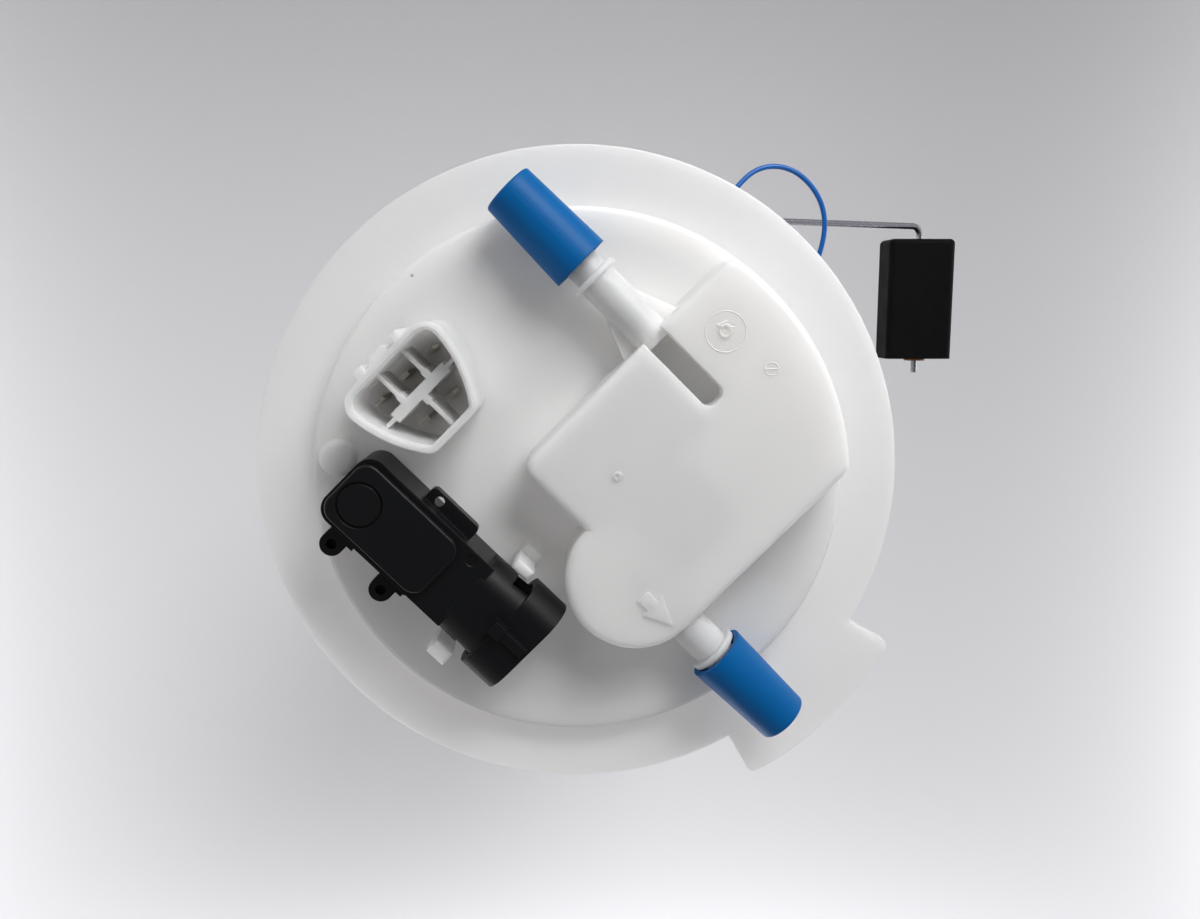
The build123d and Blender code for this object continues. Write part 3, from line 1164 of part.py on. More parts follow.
def sender_housing():
    """The sender's tray with its rim and the pivot post of the arm."""
    z0 = PIVOT_Z - SENDER_DROP
    z1 = PIVOT_Z + SENDER_TOP
    w = SENDER_HALF_W
    t = SENDER_RIM_T
    shape = block(-w, w, PAD_Y, RIM_Y, z0, z1)
    shape = fillet(shape.edges().filter_by(Axis.Y), SENDER_CORNER_R)
    inner = block(t - w, w - t, SENDER_Y1, RIM_Y + 1, z0 + t, z1 - t)
    shape -= fillet(inner.edges().filter_by(Axis.Y), SENDER_CORNER_R - t)
    z_lead = PIVOT_Z + LEAD_RISE
    shape -= block(w - t - 1, w + 1, SENDER_Y1, RIM_Y + 1, z_lead - LEAD_NOTCH_W / 2,
                   z_lead + LEAD_NOTCH_W / 2)
    return shape + bar_y(PIVOT_R, SENDER_Y1 - ROOT, POST_END, 0, PIVOT_Z)


def sender_card():
    """The ceramic resistor card behind the wiper."""
    w = SENDER_HALF_W - SENDER_RIM_T - CARD_INSET
    z0 = PIVOT_Z - SENDER_DROP + SENDER_RIM_T + CARD_INSET
    return block(-w, w, SENDER_Y1, SENDER_Y1 + CARD_T, z0, PIVOT_Z - PIVOT_R - 1)


def sender_terminals():
    """Two crimped terminals beside the pivot, where the leads end."""
    y = SENDER_Y1 + SENDER_PIN_R + SENDER_PIN_GAP
    x0 = SENDER_PIN_X - SENDER_PIN_L / 2
    barrels = [bar_x(SENDER_PIN_R, x0, x0 + SENDER_PIN_L, y, PIVOT_Z + LEAD_RISE - k * SENDER_PIN_PITCH)
               for k in (0, 1)]
    return Compound(children=barrels)


def about_pivot(shape):
    """Turns a shape drawn along +X by the arm's slope at rest."""
    return Pos(0, 0, PIVOT_Z) * Rot(0, ARM_SLOPE, 0) * shape


def arm_hub():
    """The plastic hub that turns on the post and grips the arm wire."""
    x1 = HUB_R + HUB_NOSE
    shape = bar_y(HUB_R, HUB_Y0, HUB_Y1, 0, 0)
    shape += block(0, x1, HUB_Y1 - HUB_NOSE_T, HUB_Y1, -HUB_NOSE_H / 2, HUB_NOSE_H / 2)
    shape -= bar_y(PIVOT_R + PIVOT_FIT, HUB_Y0 - 1, POST_END + PIVOT_END_GAP, 0, 0)
    shape -= bar_x(WIRE_R, -ARM_TAIL, x1 + 1, WIRE_Y, 0)
    shape -= block(-ARM_TAIL, x1 + 1, WIRE_Y, HUB_Y1 + 1, -WIRE_R, WIRE_R)
    return about_pivot(shape)


def wiper_contacts():
    """The two-fingered spring contact behind the hub."""
    y0 = SENDER_Y1 + CARD_T + WIPER_GAP
    bore = PIVOT_R + WIPER_BORE_GAP
    shape = Pos(0, HUB_Y0, 0) * Rot(90, 0, 0) * tube(HUB_R - 1, bore, 0, WIPER_T)
    for x in (-WIPER_SPREAD, WIPER_SPREAD):
        x0 = x - WIPER_W / 2
        x1 = x + WIPER_W / 2
        shape += block(x0, x1, HUB_Y0 - WIPER_T, HUB_Y0, -WIPER_REACH, -bore / 2)
        shape += block(x0, x1, y0, HUB_Y0, -WIPER_REACH, 1 - WIPER_REACH)
    shape -= bar_y(bore, y0, HUB_Y0 + 1, 0, 0)
    return Pos(0, 0, PIVOT_Z) * shape


def float_arm_wire():
    """The steel wire: along the arm, then bent inwards through the float."""
    end_y = FLOAT_TOP_Y - FLOAT_L - STUB_END
    line = FilletPolyline((-ARM_TAIL, WIRE_Y, 0), (ARM_LENGTH, WIRE_Y, 0), (ARM_LENGTH, end_y, 0),
                          radius=ARM_BEND_R)
    section = Plane(origin=line @ 0, z_dir=line % 0) * Circle(WIRE_R)
    return about_pivot(sweep(section, line))


def float_block():
    """The closed-cell float, free to turn on the wire's end."""
    y0 = FLOAT_TOP_Y - FLOAT_L
    section = RectangleRounded(FLOAT_W, FLOAT_H, FLOAT_EDGE_R)
    section = Pos(ARM_END[0] - FLOAT_BORE_OFFSET, -ARM_END[1]) * section
    shape = extrude(Pos(0, y0, 0) * Rot(-90, 0, 0) * section, FLOAT_L)
    shape = fillet(shape.edges().group_by(Axis.Y)[-1], FLOAT_END_R)
    return shape - bar_y(WIRE_R + FLOAT_FIT, y0 - 1, FLOAT_TOP_Y + 1, ARM_END[0], ARM_END[1])


def float_retainer():
    """The push-on washer that keeps the float on the wire."""
    y1 = FLOAT_TOP_Y - FLOAT_L - RETAINER_GAP
    shape = bar_y(RETAINER_R, y1 - RETAINER_T, y1, ARM_END[0], ARM_END[1])
    return shape - bar_y(WIRE_R, y1 - RETAINER_T - 1, y1 + 1, ARM_END[0], ARM_END[1])


def blue_wire():
    """The signal wire as straight runs joined by tangent arcs."""
    points = [Vector(*p) for p in CORD_ROUTE]
    radii = []
    for a, b, c in zip(points, points[1:], points[2:]):
        turn = (b - a).get_angle(c - b)
        run = min((b - a).length, (c - b).length)
        radii.append(CORD_ARC * run / tan(radians(turn / 2)))
    print("cord radii", [round(r, 1) for r in radii])
    line = FilletPolyline(*points, radius=radii)
    section = Plane(origin=line @ 0, z_dir=line % 0) * Circle(CORD_R)
    cord = sweep(section, line)
    print("cord length", round(line.length, 1), "volume ratio",
          round(cord.volume / (pi * CORD_R ** 2 * line.length), 4))
    return cord


save(flange_cover(), "flange_cover")
save(connector_terminals(), "connector_terminals")
save(harness_plug(), "harness_plug")
save(sensor_housing(), "sensor_housing")
save(sensor_lid(), "sensor_lid")
save(sensor_terminals(), "sensor_terminals")
save(sensor_grommet(), "sensor_grommet")
save(cap(VENT_COLLAR_X - COLLAR_T / 2 - VENT_CAP_GAP, -1, VENT_PIPE_Y), "vent_pipe_cap")
save(cap(SUPPLY_COLLAR_X + COLLAR_T / 2 + SUPPLY_CAP_GAP, 1, SUPPLY_Y), "supply_pipe_cap")
for number, place in enumerate(rod_places(), start=1):
    save(guide_rod(place), f"guide_rod_{number}")
    save(lift_spring(place), f"lift_spring_{number}")
save(rod_clips(), "rod_clips")
save(vent_valve_body(), "vent_valve_body")
save(vent_valve_cap(), "vent_valve_cap")
save(vent_valve_float(), "vent_valve_float")
save(reservoir_cup(), "reservoir_cup")
save(reservoir_lid(), "reservoir_lid")
save(foot_valve(), "foot_valve")
save(pump_case(), "pump_case")
save(pump_outlet_cover(), "pump_outlet_cover")
save(pump_inlet_cover(), "pump_inlet_cover")
save(impeller_ring(), "impeller_ring")
save(impeller(), "impeller")
save(armature(), "armature")
save(commutator(), "commutator")
save(post(SHAFT_R, SHAFT_BOTTOM + SHAFT_END_GAP, SHAFT_TOP, PUMP_AT), "rotor_shaft")
save(brushes(), "brushes")
save(magnet(-1), "magnet_1")
save(magnet(1), "magnet_2")
save(check_valve_poppet(), "check_valve_poppet")
save(pump_isolator(), "pump_isolator")
save(inlet_strainer(), "inlet_strainer")
save(pressure_regulator(), "pressure_regulator")
save(fuel_hose(), "fuel_hose")
save(sender_housing(), "sender_housing")
save(sender_card(), "sender_card")
save(sender_terminals(), "sender_terminals")
save(arm_hub(), "arm_hub")
save(wiper_contacts(), "wiper_contacts")
save(float_arm_wire(), "float_arm_wire")
save(float_block(), "float_block")
save(float_retainer(), "float_retainer")
save(blue_wire(), "blue_wire")
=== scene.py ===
import math

import bpy
from mathutils import Matrix, Vector


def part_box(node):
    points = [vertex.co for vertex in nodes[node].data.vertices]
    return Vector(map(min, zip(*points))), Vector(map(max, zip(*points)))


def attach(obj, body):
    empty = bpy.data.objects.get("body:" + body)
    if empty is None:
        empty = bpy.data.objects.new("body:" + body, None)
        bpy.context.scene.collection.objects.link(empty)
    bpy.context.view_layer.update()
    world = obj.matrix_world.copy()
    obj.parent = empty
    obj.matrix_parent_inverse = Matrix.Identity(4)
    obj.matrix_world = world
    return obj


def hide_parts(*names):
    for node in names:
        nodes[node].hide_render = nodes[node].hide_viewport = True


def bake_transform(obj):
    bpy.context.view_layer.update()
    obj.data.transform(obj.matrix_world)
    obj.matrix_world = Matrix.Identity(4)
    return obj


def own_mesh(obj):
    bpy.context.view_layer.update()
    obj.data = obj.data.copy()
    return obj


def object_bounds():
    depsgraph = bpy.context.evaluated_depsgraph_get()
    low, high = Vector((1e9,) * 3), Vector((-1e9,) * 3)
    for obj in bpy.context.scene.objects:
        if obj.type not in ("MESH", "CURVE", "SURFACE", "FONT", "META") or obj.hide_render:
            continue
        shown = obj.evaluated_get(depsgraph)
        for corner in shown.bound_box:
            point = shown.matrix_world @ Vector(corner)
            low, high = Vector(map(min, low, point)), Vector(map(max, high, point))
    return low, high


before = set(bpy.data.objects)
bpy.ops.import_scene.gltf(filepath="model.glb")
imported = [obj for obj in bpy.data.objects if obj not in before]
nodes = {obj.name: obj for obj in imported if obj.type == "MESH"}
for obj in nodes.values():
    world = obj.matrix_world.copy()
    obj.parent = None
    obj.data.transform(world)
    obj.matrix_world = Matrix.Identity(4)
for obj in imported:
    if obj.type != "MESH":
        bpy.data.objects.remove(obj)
cad_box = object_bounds()

# The camera looks down on the flange from the place where the photograph was taken. Two of its
# directions are given, the picture's right and up, and the lens has the same field of view.
CAMERA_AT = (-0.00215, 0.03939, 0.2470)
CAMERA_RIGHT = Vector((0.99957, 0.0, 0.02932))
CAMERA_UP = Vector((0.0043, 0.98920, -0.14654))
LENS = 31.5
SENSOR_WIDTH = 36.0

camera = bpy.data.objects.new("camera", bpy.data.cameras.new("camera"))
bpy.context.scene.collection.objects.link(camera)
back = CAMERA_RIGHT.cross(CAMERA_UP).normalized()
up = back.cross(CAMERA_RIGHT).normalized()
turn = Matrix((CAMERA_RIGHT.normalized(), up, back)).transposed().to_4x4()
camera.matrix_world = Matrix.Translation(CAMERA_AT) @ turn
camera.data.lens = LENS
camera.data.sensor_width = SENSOR_WIDTH
camera.data.sensor_fit = "HORIZONTAL"
camera.data.clip_start = 0.005
camera.data.clip_end = 20.0
bpy.context.scene.camera = camera


# The blue signal wire: seven strands in a thin PVC jacket, about 196 mm from the harness plug to the
# sender's terminal. It bulges out past the rim in a loose loop.
def linear(code):
    """A linear colour from an sRGB hex value."""
    parts = [int(code[k:k + 2], 16) / 255 for k in (1, 3, 5)]
    return [c / 12.92 if c <= 0.04045 else ((c + 0.055) / 1.055) ** 2.4 for c in parts] + [1.0]


def add(tree, kind, settings=None, inputs=None):
    """Adds a node to a tree with its settings, and sets or links its inputs."""
    node = tree.nodes.new(kind)
    for name, value in (settings or {}).items():
        setattr(node, name, value)
    for name, value in (inputs or {}).items():
        if isinstance(value, bpy.types.NodeSocket):
            tree.links.new(value, node.inputs[name])
        else:
            node.inputs[name].default_value = value
    return node


def material(name, **constants):
    """A new material: its tree, its shader with the sockets that are the same all over, and the place."""
    made = bpy.data.materials.new(name)
    made.use_nodes = True
    tree = made.node_tree
    tree.nodes.clear()
    shader = add(tree, "ShaderNodeBsdfPrincipled")
    for socket, value in constants.items():
        shader.inputs[socket.replace("_", " ")].default_value = value
    add(tree, "ShaderNodeOutputMaterial", {}, {"Surface": shader.outputs["BSDF"]})
    place = add(tree, "ShaderNodeTexCoord").outputs["Object"]
    return made, tree, shader, place


def moulded(name, light, dark, roughness, grain, depth, patch, edge=0.25, **constants):
    """Moulded plastic. grain and depth are the tool's texture and patch its flow marks, all in mm;
    edge is the radius in mm that the tool leaves on its sharpest corners."""
    made, tree, shader, place = material(name, **constants)
    flow = add(tree, "ShaderNodeTexNoise", {}, {"Vector": place, "Scale": 1000 / patch, "Detail": 3.0})
    colour = add(tree, "ShaderNodeMix", {"data_type": "RGBA"},
                 {0: flow.outputs[0], 6: linear(light), 7: linear(dark)})
    tree.links.new(colour.outputs[2], shader.inputs["Base Color"])
    texture = add(tree, "ShaderNodeTexNoise", {}, {"Vector": place, "Scale": 1000 / grain, "Detail": 2.0})
    gloss = add(tree, "ShaderNodeMapRange", {},
                {"Value": texture.outputs[0], "To Min": roughness - 0.05, "To Max": roughness + 0.06})
    tree.links.new(gloss.outputs[0], shader.inputs["Roughness"])
    rounded = add(tree, "ShaderNodeBevel", {"samples": 4}, {"Radius": edge / 1000})
    bump = add(tree, "ShaderNodeBump", {}, {"Strength": 1.0, "Distance": depth / 1000,
                                            "Height": texture.outputs[0], "Normal": rounded.outputs[0]})
    tree.links.new(bump.outputs[0], shader.inputs["Normal"])
    return made


def settled(carrier, name):
    """The evaluated shape of a carrier object as a plain mesh object at the origin."""
    graph = bpy.context.evaluated_depsgraph_get()
    mesh = bpy.data.meshes.new_from_object(carrier.evaluated_get(graph))
    mesh.transform(carrier.matrix_world)
    piece = bpy.data.objects.new(name, mesh)
    bpy.context.scene.collection.objects.link(piece)
    bpy.data.objects.remove(carrier)
    return piece


WIRE_R = 0.0007
WIRE_ROUTE = [
    (-0.0255, 0.0290, -0.0090), (-0.0215, 0.0365, -0.0105), (-0.0150, 0.0475, -0.0180),
    (0.0020, 0.0490, -0.0330), (0.0160, 0.0485, -0.0380), (0.0270, 0.0510, -0.0400),
    (0.0355, 0.0585, -0.0405), (0.0415, 0.0689, -0.0415), (0.0490, 0.0763, -0.0435),
    (0.0590, 0.0760, -0.0445), (0.0668, 0.0682, -0.0445), (0.0686, 0.0580, -0.0450),
    (0.0640, 0.0445, -0.0460), (0.0500, 0.0450, -0.0480), (0.0350, 0.0540, -0.0505),
    (0.0171, 0.0559, -0.0510),
]


def wire_curve(thickness):
    """The wire's route as one smooth curve, with or without its thickness."""
    curve = bpy.data.curves.new("wire_route", "CURVE")
    curve.dimensions = "3D"
    curve.resolution_u = 14
    spline = curve.splines.new("NURBS")
    spline.points.add(len(WIRE_ROUTE) - 1)
    for point, place in zip(spline.points, WIRE_ROUTE):
        point.co = (*place, 1.0)
    spline.order_u = 3
    spline.use_endpoint_u = True
    curve.bevel_depth = thickness
    curve.bevel_resolution = 5
    curve.use_fill_caps = thickness > 0
    carrier = bpy.data.objects.new("wire_route", curve)
    bpy.context.scene.collection.objects.link(carrier)
    return carrier


line = settled(wire_curve(0.0), "wire_line")
bpy.data.objects.remove(line)
blue_wire = settled(wire_curve(WIRE_R), "blue_signal_wire")
blue_wire.data.shade_smooth()
# PVC insulation: extruded, so it is smooth and glossy with a faint waviness from the strands inside
pvc = moulded("extruded_blue_PVC", "#0068C0", "#005CAE", 0.34, 0.5, 0.02, 6.0, IOR=1.5)
blue_wire.data.materials.append(pvc)
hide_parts("blue_wire")
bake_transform(blue_wire)


# The flange: one large moulding in natural acetal, which is milky, a little translucent at its thin
# edges and satin where the tool was spark-eroded. Handling has left it some faint specks and scuffs.
def dress(finish, *names):
    """Gives CAD pieces their material."""
    for name in names:
        nodes[name].data.materials.clear()
        nodes[name].data.materials.append(finish)


FLOW_MARKS_PER_METRE = 22.0
SPECKS_PER_METRE = 62.0
SPARK_PITS_PER_METRE = 2600.0
SCUFFS_PER_METRE = 90.0
SPECK_SHARE = 0.3
SPECK_STRENGTH = 0.55


def natural_acetal(name, light, dark):
    """Natural acetal with specks of dirt and scuffs. Light goes far into it and softens its shadows."""
    made, tree, shader, place = material(name, Subsurface_Weight=0.85, Subsurface_Scale=0.012,
                                         Subsurface_Radius=(1.0, 0.97, 0.93), IOR=1.48)
    flow = add(tree, "ShaderNodeTexNoise", {}, {"Vector": place, "Scale": FLOW_MARKS_PER_METRE,
                                                "Detail": 3.0})
    tone = add(tree, "ShaderNodeMix", {"data_type": "RGBA"},
               {0: flow.outputs[0], 6: linear(light), 7: linear(dark)})
    # Specks are under a millimetre across, and about one in three cells of 16 mm has one
    cells = add(tree, "ShaderNodeTexVoronoi", {}, {"Vector": place, "Scale": SPECKS_PER_METRE})
    speck = add(tree, "ShaderNodeMapRange", {}, {"Value": cells.outputs["Distance"], "From Min": 0.018,
                                                 "From Max": 0.03, "To Min": 1.0, "To Max": 0.0})
    some = add(tree, "ShaderNodeSeparateColor", {}, {"Color": cells.outputs["Color"]})
    rare = add(tree, "ShaderNodeMath", {"operation": "GREATER_THAN"},
               {0: some.outputs[0], 1: 1 - SPECK_SHARE})
    dirt = add(tree, "ShaderNodeMath", {"operation": "MULTIPLY"}, {0: speck.outputs[0], 1: rare.outputs[0]})
    shown = add(tree, "ShaderNodeMath", {"operation": "MULTIPLY"}, {0: dirt.outputs[0], 1: SPECK_STRENGTH})
    colour = add(tree, "ShaderNodeMix", {"data_type": "RGBA"},
                 {0: shown.outputs[0], 6: tone.outputs[2], 7: linear("#6B655E")})
    tree.links.new(colour.outputs[2], shader.inputs["Base Color"])
    texture = add(tree, "ShaderNodeTexNoise", {}, {"Vector": place, "Scale": SPARK_PITS_PER_METRE,
                                                   "Detail": 2.0})
    rub = add(tree, "ShaderNodeTexNoise", {}, {"Vector": place, "Scale": SCUFFS_PER_METRE, "Detail": 5.0,
                                               "Distortion": 1.4})
    gloss = add(tree, "ShaderNodeMapRange", {}, {"Value": rub.outputs[0], "From Min": 0.35,
                                                 "From Max": 0.7, "To Min": 0.36, "To Max": 0.5})
    tree.links.new(gloss.outputs[0], shader.inputs["Roughness"])
    rounded = add(tree, "ShaderNodeBevel", {"samples": 4}, {"Radius": 0.0004})
    bump = add(tree, "ShaderNodeBump", {}, {"Strength": 1.0, "Distance": 0.000012,
                                            "Height": texture.outputs[0], "Normal": rounded.outputs[0]})
    tree.links.new(bump.outputs[0], shader.inputs["Normal"])
    return made


acetal = natural_acetal("moulded_natural_acetal", "#F0EFED", "#E9E8E6")
dress(acetal, "flange_cover")


# Thin raised lines on the chamber's top, left by round inserts in the mould: a plain arrow inside a
# ring, which goes round a smaller one, and a second ring with one line. They are of the same moulding.
CHAMBER_TOP_Z = 0.0225
MARK_LINE_R = 0.00014
MARK_RING_SIDES = 40
DIAL_AT = (0.03125, 0.03355)
DIAL_R = 0.0044
SMALL_DIAL_AT = (0.04128, 0.02562)
SMALL_DIAL_R = 0.0014
ARROW_TIP = (0.02929, 0.03499)
ARROW_ENDS = ((0.03152, 0.03582), (0.03326, 0.03445), (0.03115, 0.03350))


def ring_points(centre, radius):
    """Points round a circle."""
    turns = [math.tau * k / MARK_RING_SIDES for k in range(MARK_RING_SIDES)]
    return [(centre[0] + radius * math.cos(a), centre[1] + radius * math.sin(a)) for a in turns]


def mould_marks():
    """The marks as one mesh of thin round lines, sunk to half their height in the chamber's top."""
    curve = bpy.data.curves.new("mould_marks", "CURVE")
    curve.dimensions = "3D"
    curve.bevel_depth = MARK_LINE_R
    curve.bevel_resolution = 2
    curve.use_fill_caps = True
    closed = [ring_points(DIAL_AT, DIAL_R), ring_points(SMALL_DIAL_AT, SMALL_DIAL_R)]
    small_x, small_y = SMALL_DIAL_AT
    strokes = [[ARROW_TIP, end] for end in ARROW_ENDS]
    strokes.append([(small_x - SMALL_DIAL_R, small_y), (small_x + SMALL_DIAL_R, small_y)])
    for points in closed + strokes:
        spline = curve.splines.new("POLY")
        spline.points.add(len(points) - 1)
        for point, (x, y) in zip(spline.points, points):
            point.co = (x, y, CHAMBER_TOP_Z, 1.0)
        spline.use_cyclic_u = len(points) == MARK_RING_SIDES
    carrier = bpy.data.objects.new("mould_marks", curve)
    bpy.context.scene.collection.objects.link(carrier)
    return settled(carrier, "chamber_mould_marks")


marks = mould_marks()
# Lines this thin show the acetal's own white, with no glow from inside
line_acetal = moulded("acetal_in_thin_lines", "#F6F5F2", "#F1F0ED", 0.4, 0.5, 0.004, 6.0, 0.08, IOR=1.48)
marks.data.materials.append(line_acetal)
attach(marks, "flange")


# The main socket's blades: stamped brass with a matt tin plating, dull grey with warmer cut edges.
# They are pressed through the shroud's floor into the harness plug under the flange.
def metal(name, light, dark, roughness, grain, stretch=(1.0, 1.0, 1.0), depth=0.004, edge=0.08):
    """Worked metal. grain is the size in mm of its marks, which stretch along the axes as given."""
    made, tree, shader, place = material(name, Metallic=1.0)
    along = add(tree, "ShaderNodeMapping", {}, {"Vector": place, "Scale": stretch})
    marks = add(tree, "ShaderNodeTexNoise", {}, {"Vector": along.outputs[0], "Scale": 1000 / grain,
                                                 "Detail": 4.0})
    colour = add(tree, "ShaderNodeMix", {"data_type": "RGBA"},
                 {0: marks.outputs[0], 6: linear(light), 7: linear(dark)})
    tree.links.new(colour.outputs[2], shader.inputs["Base Color"])
    gloss = add(tree, "ShaderNodeMapRange", {},
                {"Value": marks.outputs[0], "To Min": roughness - 0.08, "To Max": roughness + 0.1})
    tree.links.new(gloss.outputs[0], shader.inputs["Roughness"])
    rounded = add(tree, "ShaderNodeBevel", {"samples": 4}, {"Radius": edge / 1000})
    bump = add(tree, "ShaderNodeBump", {}, {"Strength": 1.0, "Distance": depth / 1000,
                                            "Height": marks.outputs[0], "Normal": rounded.outputs[0]})
    tree.links.new(bump.outputs[0], shader.inputs["Normal"])
    return made


tinned_brass = metal("tin_plated_brass", "#B9B6AC", "#8E897C", 0.36, 0.6)
dress(tinned_brass, "connector_terminals")
dress(acetal, "harness_plug")


# The pressure sensor: a black housing of glass-filled PBT with a lid welded on, which looks nearly
# black, dry on its flats and bright along its edges. A nitrile grommet seals its port in the disc.
black_pbt = moulded("glass_filled_black_PBT", "#0A0B0E", "#07080A", 0.42, 0.35, 0.012, 9.0, 0.35, IOR=1.5,
                    Specular_IOR_Level=0.32)
dress(black_pbt, "sensor_housing", "sensor_lid")
dress(tinned_brass, "sensor_terminals")
# Nitrile rubber is dull and soft looking, a shade off the black of the housing
nitrile = moulded("black_nitrile_rubber", "#0E0F10", "#0A0A0B", 0.62, 0.5, 0.02, 5.0, 0.3, IOR=1.52)
dress(nitrile, "sensor_grommet")


# Two transport caps in blue polythene, pushed over the pipes to keep dirt out. The material is soft,
# with a frosted gloss, and lets a little light into its walls.
polythene = moulded("blue_low_density_polythene", "#0064A8", "#005896", 0.45, 0.4, 0.014, 12.0, 0.4,
                    IOR=1.51, Subsurface_Weight=0.15, Subsurface_Scale=0.0012,
                    Subsurface_Radius=(0.3, 0.6, 1.0), Specular_IOR_Level=0.16)
dress(polythene, "vent_pipe_cap", "supply_pipe_cap")


# Three ground steel rods, pressed into bosses under the flange, guide the reservoir. Each carries a
# coil spring with closed ends, and a clip in a groove at its foot stops the reservoir.
# Grinding leaves fine lines along a bright rod, and drawing leaves the springs' wire a little darker
ground_steel = metal("ground_steel_rod", "#B4B6BA", "#9A9CA1", 0.22, 0.5, (1.0, 1.0, 8.0))
spring_steel = metal("drawn_spring_steel", "#9B9DA2", "#74767B", 0.27, 0.4)
dress(ground_steel, "guide_rod_1", "guide_rod_2", "guide_rod_3")
dress(spring_steel, "rod_clips")

SPRING_WIRE_R = 0.00065
SPRING_TURNS = 9.5
SPRING_SIDES = 10
SPRING_STEPS = 420
CLOSED_SHARE = 0.11
CLOSED_TURN_WIRE_RADII = 2.1


def new_tree(name, inputs):
    """An empty geometry tree with a geometry in and out and the named inputs."""
    tree = bpy.data.node_groups.new(name, "GeometryNodeTree")
    tree.interface.new_socket("Geometry", in_out="INPUT", socket_type="NodeSocketGeometry")
    sockets = {label: tree.interface.new_socket(label, in_out="INPUT", socket_type=kind)
               for label, kind in inputs.items()}
    tree.interface.new_socket("Geometry", in_out="OUTPUT", socket_type="NodeSocketGeometry")
    source = add(tree, "NodeGroupInput").outputs
    return tree, source, {label: item.identifier for label, item in sockets.items()}


def grown(tree, identifiers, values, name, at):
    """Runs a geometry tree with its input values and returns the plain mesh, moved to its place."""
    carrier = bpy.data.objects.new(name + "_carrier", bpy.data.meshes.new(name))
    bpy.context.scene.collection.objects.link(carrier)
    modifier = carrier.modifiers.new("tree", "NODES")
    modifier.node_group = tree
    for label, value in values.items():
        modifier[identifiers[label]] = value
    piece = settled(carrier, name)
    piece.data.transform(Matrix.Translation(at))
    return piece


def end_tree(tree, shape, finish):
    """Ends a tree: smooth, real geometry in one material."""
    smooth = add(tree, "GeometryNodeSetShadeSmooth", {}, {"Geometry": shape})
    real = add(tree, "GeometryNodeRealizeInstances", {}, {"Geometry": smooth.outputs[0]})
    coated = add(tree, "GeometryNodeSetMaterial", {}, {"Geometry": real.outputs[0], "Material": finish})
    add(tree, "NodeGroupOutput", {}, {0: coated.outputs[0]})


def coil_tree():
    """A coil spring that stands on z = 0, with a closed turn at each end."""
    floats = ("Coil radius", "Wire radius", "Height", "Turns")
    tree, source, identifiers = new_tree("coil_spring", {label: "NodeSocketFloat" for label in floats})
    line = add(tree, "GeometryNodeCurvePrimitiveLine", {}, {"End": (0.0, 0.0, 1.0)})
    steps = add(tree, "GeometryNodeResampleCurve", {}, {"Curve": line.outputs[0], "Count": SPRING_STEPS})
    share = add(tree, "GeometryNodeSplineParameter").outputs["Factor"]
    whole = add(tree, "ShaderNodeMath", {"operation": "MULTIPLY"}, {0: share, 1: source["Turns"]})
    angle = add(tree, "ShaderNodeMath", {"operation": "MULTIPLY"}, {0: whole.outputs[0], 1: math.tau})
    closed = add(tree, "ShaderNodeMath", {"operation": "MULTIPLY"},
                 {0: source["Wire radius"], 1: CLOSED_TURN_WIRE_RADII}).outputs[0]
    both = add(tree, "ShaderNodeMath", {"operation": "MULTIPLY"}, {0: closed, 1: 2.0})
    open_height = add(tree, "ShaderNodeMath", {"operation": "SUBTRACT"},
                      {0: source["Height"], 1: both.outputs[0]}).outputs[0]
    first = add(tree, "ShaderNodeMapRange", {}, {"Value": share, "From Max": CLOSED_SHARE,
                                                 "To Max": closed})
    middle = add(tree, "ShaderNodeMapRange", {}, {"Value": share, "From Min": CLOSED_SHARE,
                                                  "From Max": 1 - CLOSED_SHARE, "To Max": open_height})
    last = add(tree, "ShaderNodeMapRange", {}, {"Value": share, "From Min": 1 - CLOSED_SHARE,
                                                "To Max": closed})
    low_part = add(tree, "ShaderNodeMath", {"operation": "ADD"}, {0: first.outputs[0], 1: middle.outputs[0]})
    rise = add(tree, "ShaderNodeMath", {"operation": "ADD"}, {0: low_part.outputs[0], 1: last.outputs[0]})
    cosine = add(tree, "ShaderNodeMath", {"operation": "COSINE"}, {0: angle.outputs[0]})
    sine = add(tree, "ShaderNodeMath", {"operation": "SINE"}, {0: angle.outputs[0]})
    across = add(tree, "ShaderNodeMath", {"operation": "MULTIPLY"},
                 {0: cosine.outputs[0], 1: source["Coil radius"]})
    along = add(tree, "ShaderNodeMath", {"operation": "MULTIPLY"},
                {0: sine.outputs[0], 1: source["Coil radius"]})
    spot = add(tree, "ShaderNodeCombineXYZ", {}, {"X": across.outputs[0], "Y": along.outputs[0],
                                                         "Z": rise.outputs[0]})
    helix = add(tree, "GeometryNodeSetPosition", {}, {"Geometry": steps.outputs[0],
                                                      "Position": spot.outputs[0]})
    ring = add(tree, "GeometryNodeCurvePrimitiveCircle", {"mode": "RADIUS"},
               {"Resolution": SPRING_SIDES, "Radius": source["Wire radius"]})
    wire = add(tree, "GeometryNodeCurveToMesh", {}, {"Curve": helix.outputs[0],
                                                     "Profile Curve": ring.outputs[0], "Fill Caps": True})
    end_tree(tree, wire.outputs[0], spring_steel)
    return tree, identifiers


spring_tree, spring_inputs = coil_tree()
for number in (1, 2, 3):
    low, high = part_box(f"lift_spring_{number}")
    rod_low, rod_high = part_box(f"guide_rod_{number}")
    axis_x = (rod_low.x + rod_high.x) / 2
    axis_y = (rod_low.y + rod_high.y) / 2
    coil_r = (high.x - low.x) / 2 - SPRING_WIRE_R
    sizes = {"Coil radius": coil_r, "Wire radius": SPRING_WIRE_R, "Turns": SPRING_TURNS,
             "Height": high.z - low.z - 2 * SPRING_WIRE_R}
    spring = grown(spring_tree, spring_inputs, sizes, f"coil_spring_{number}",
                   (axis_x, axis_y, low.z + SPRING_WIRE_R))
    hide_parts(f"lift_spring_{number}")
    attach(spring, "flange")
    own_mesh(spring)


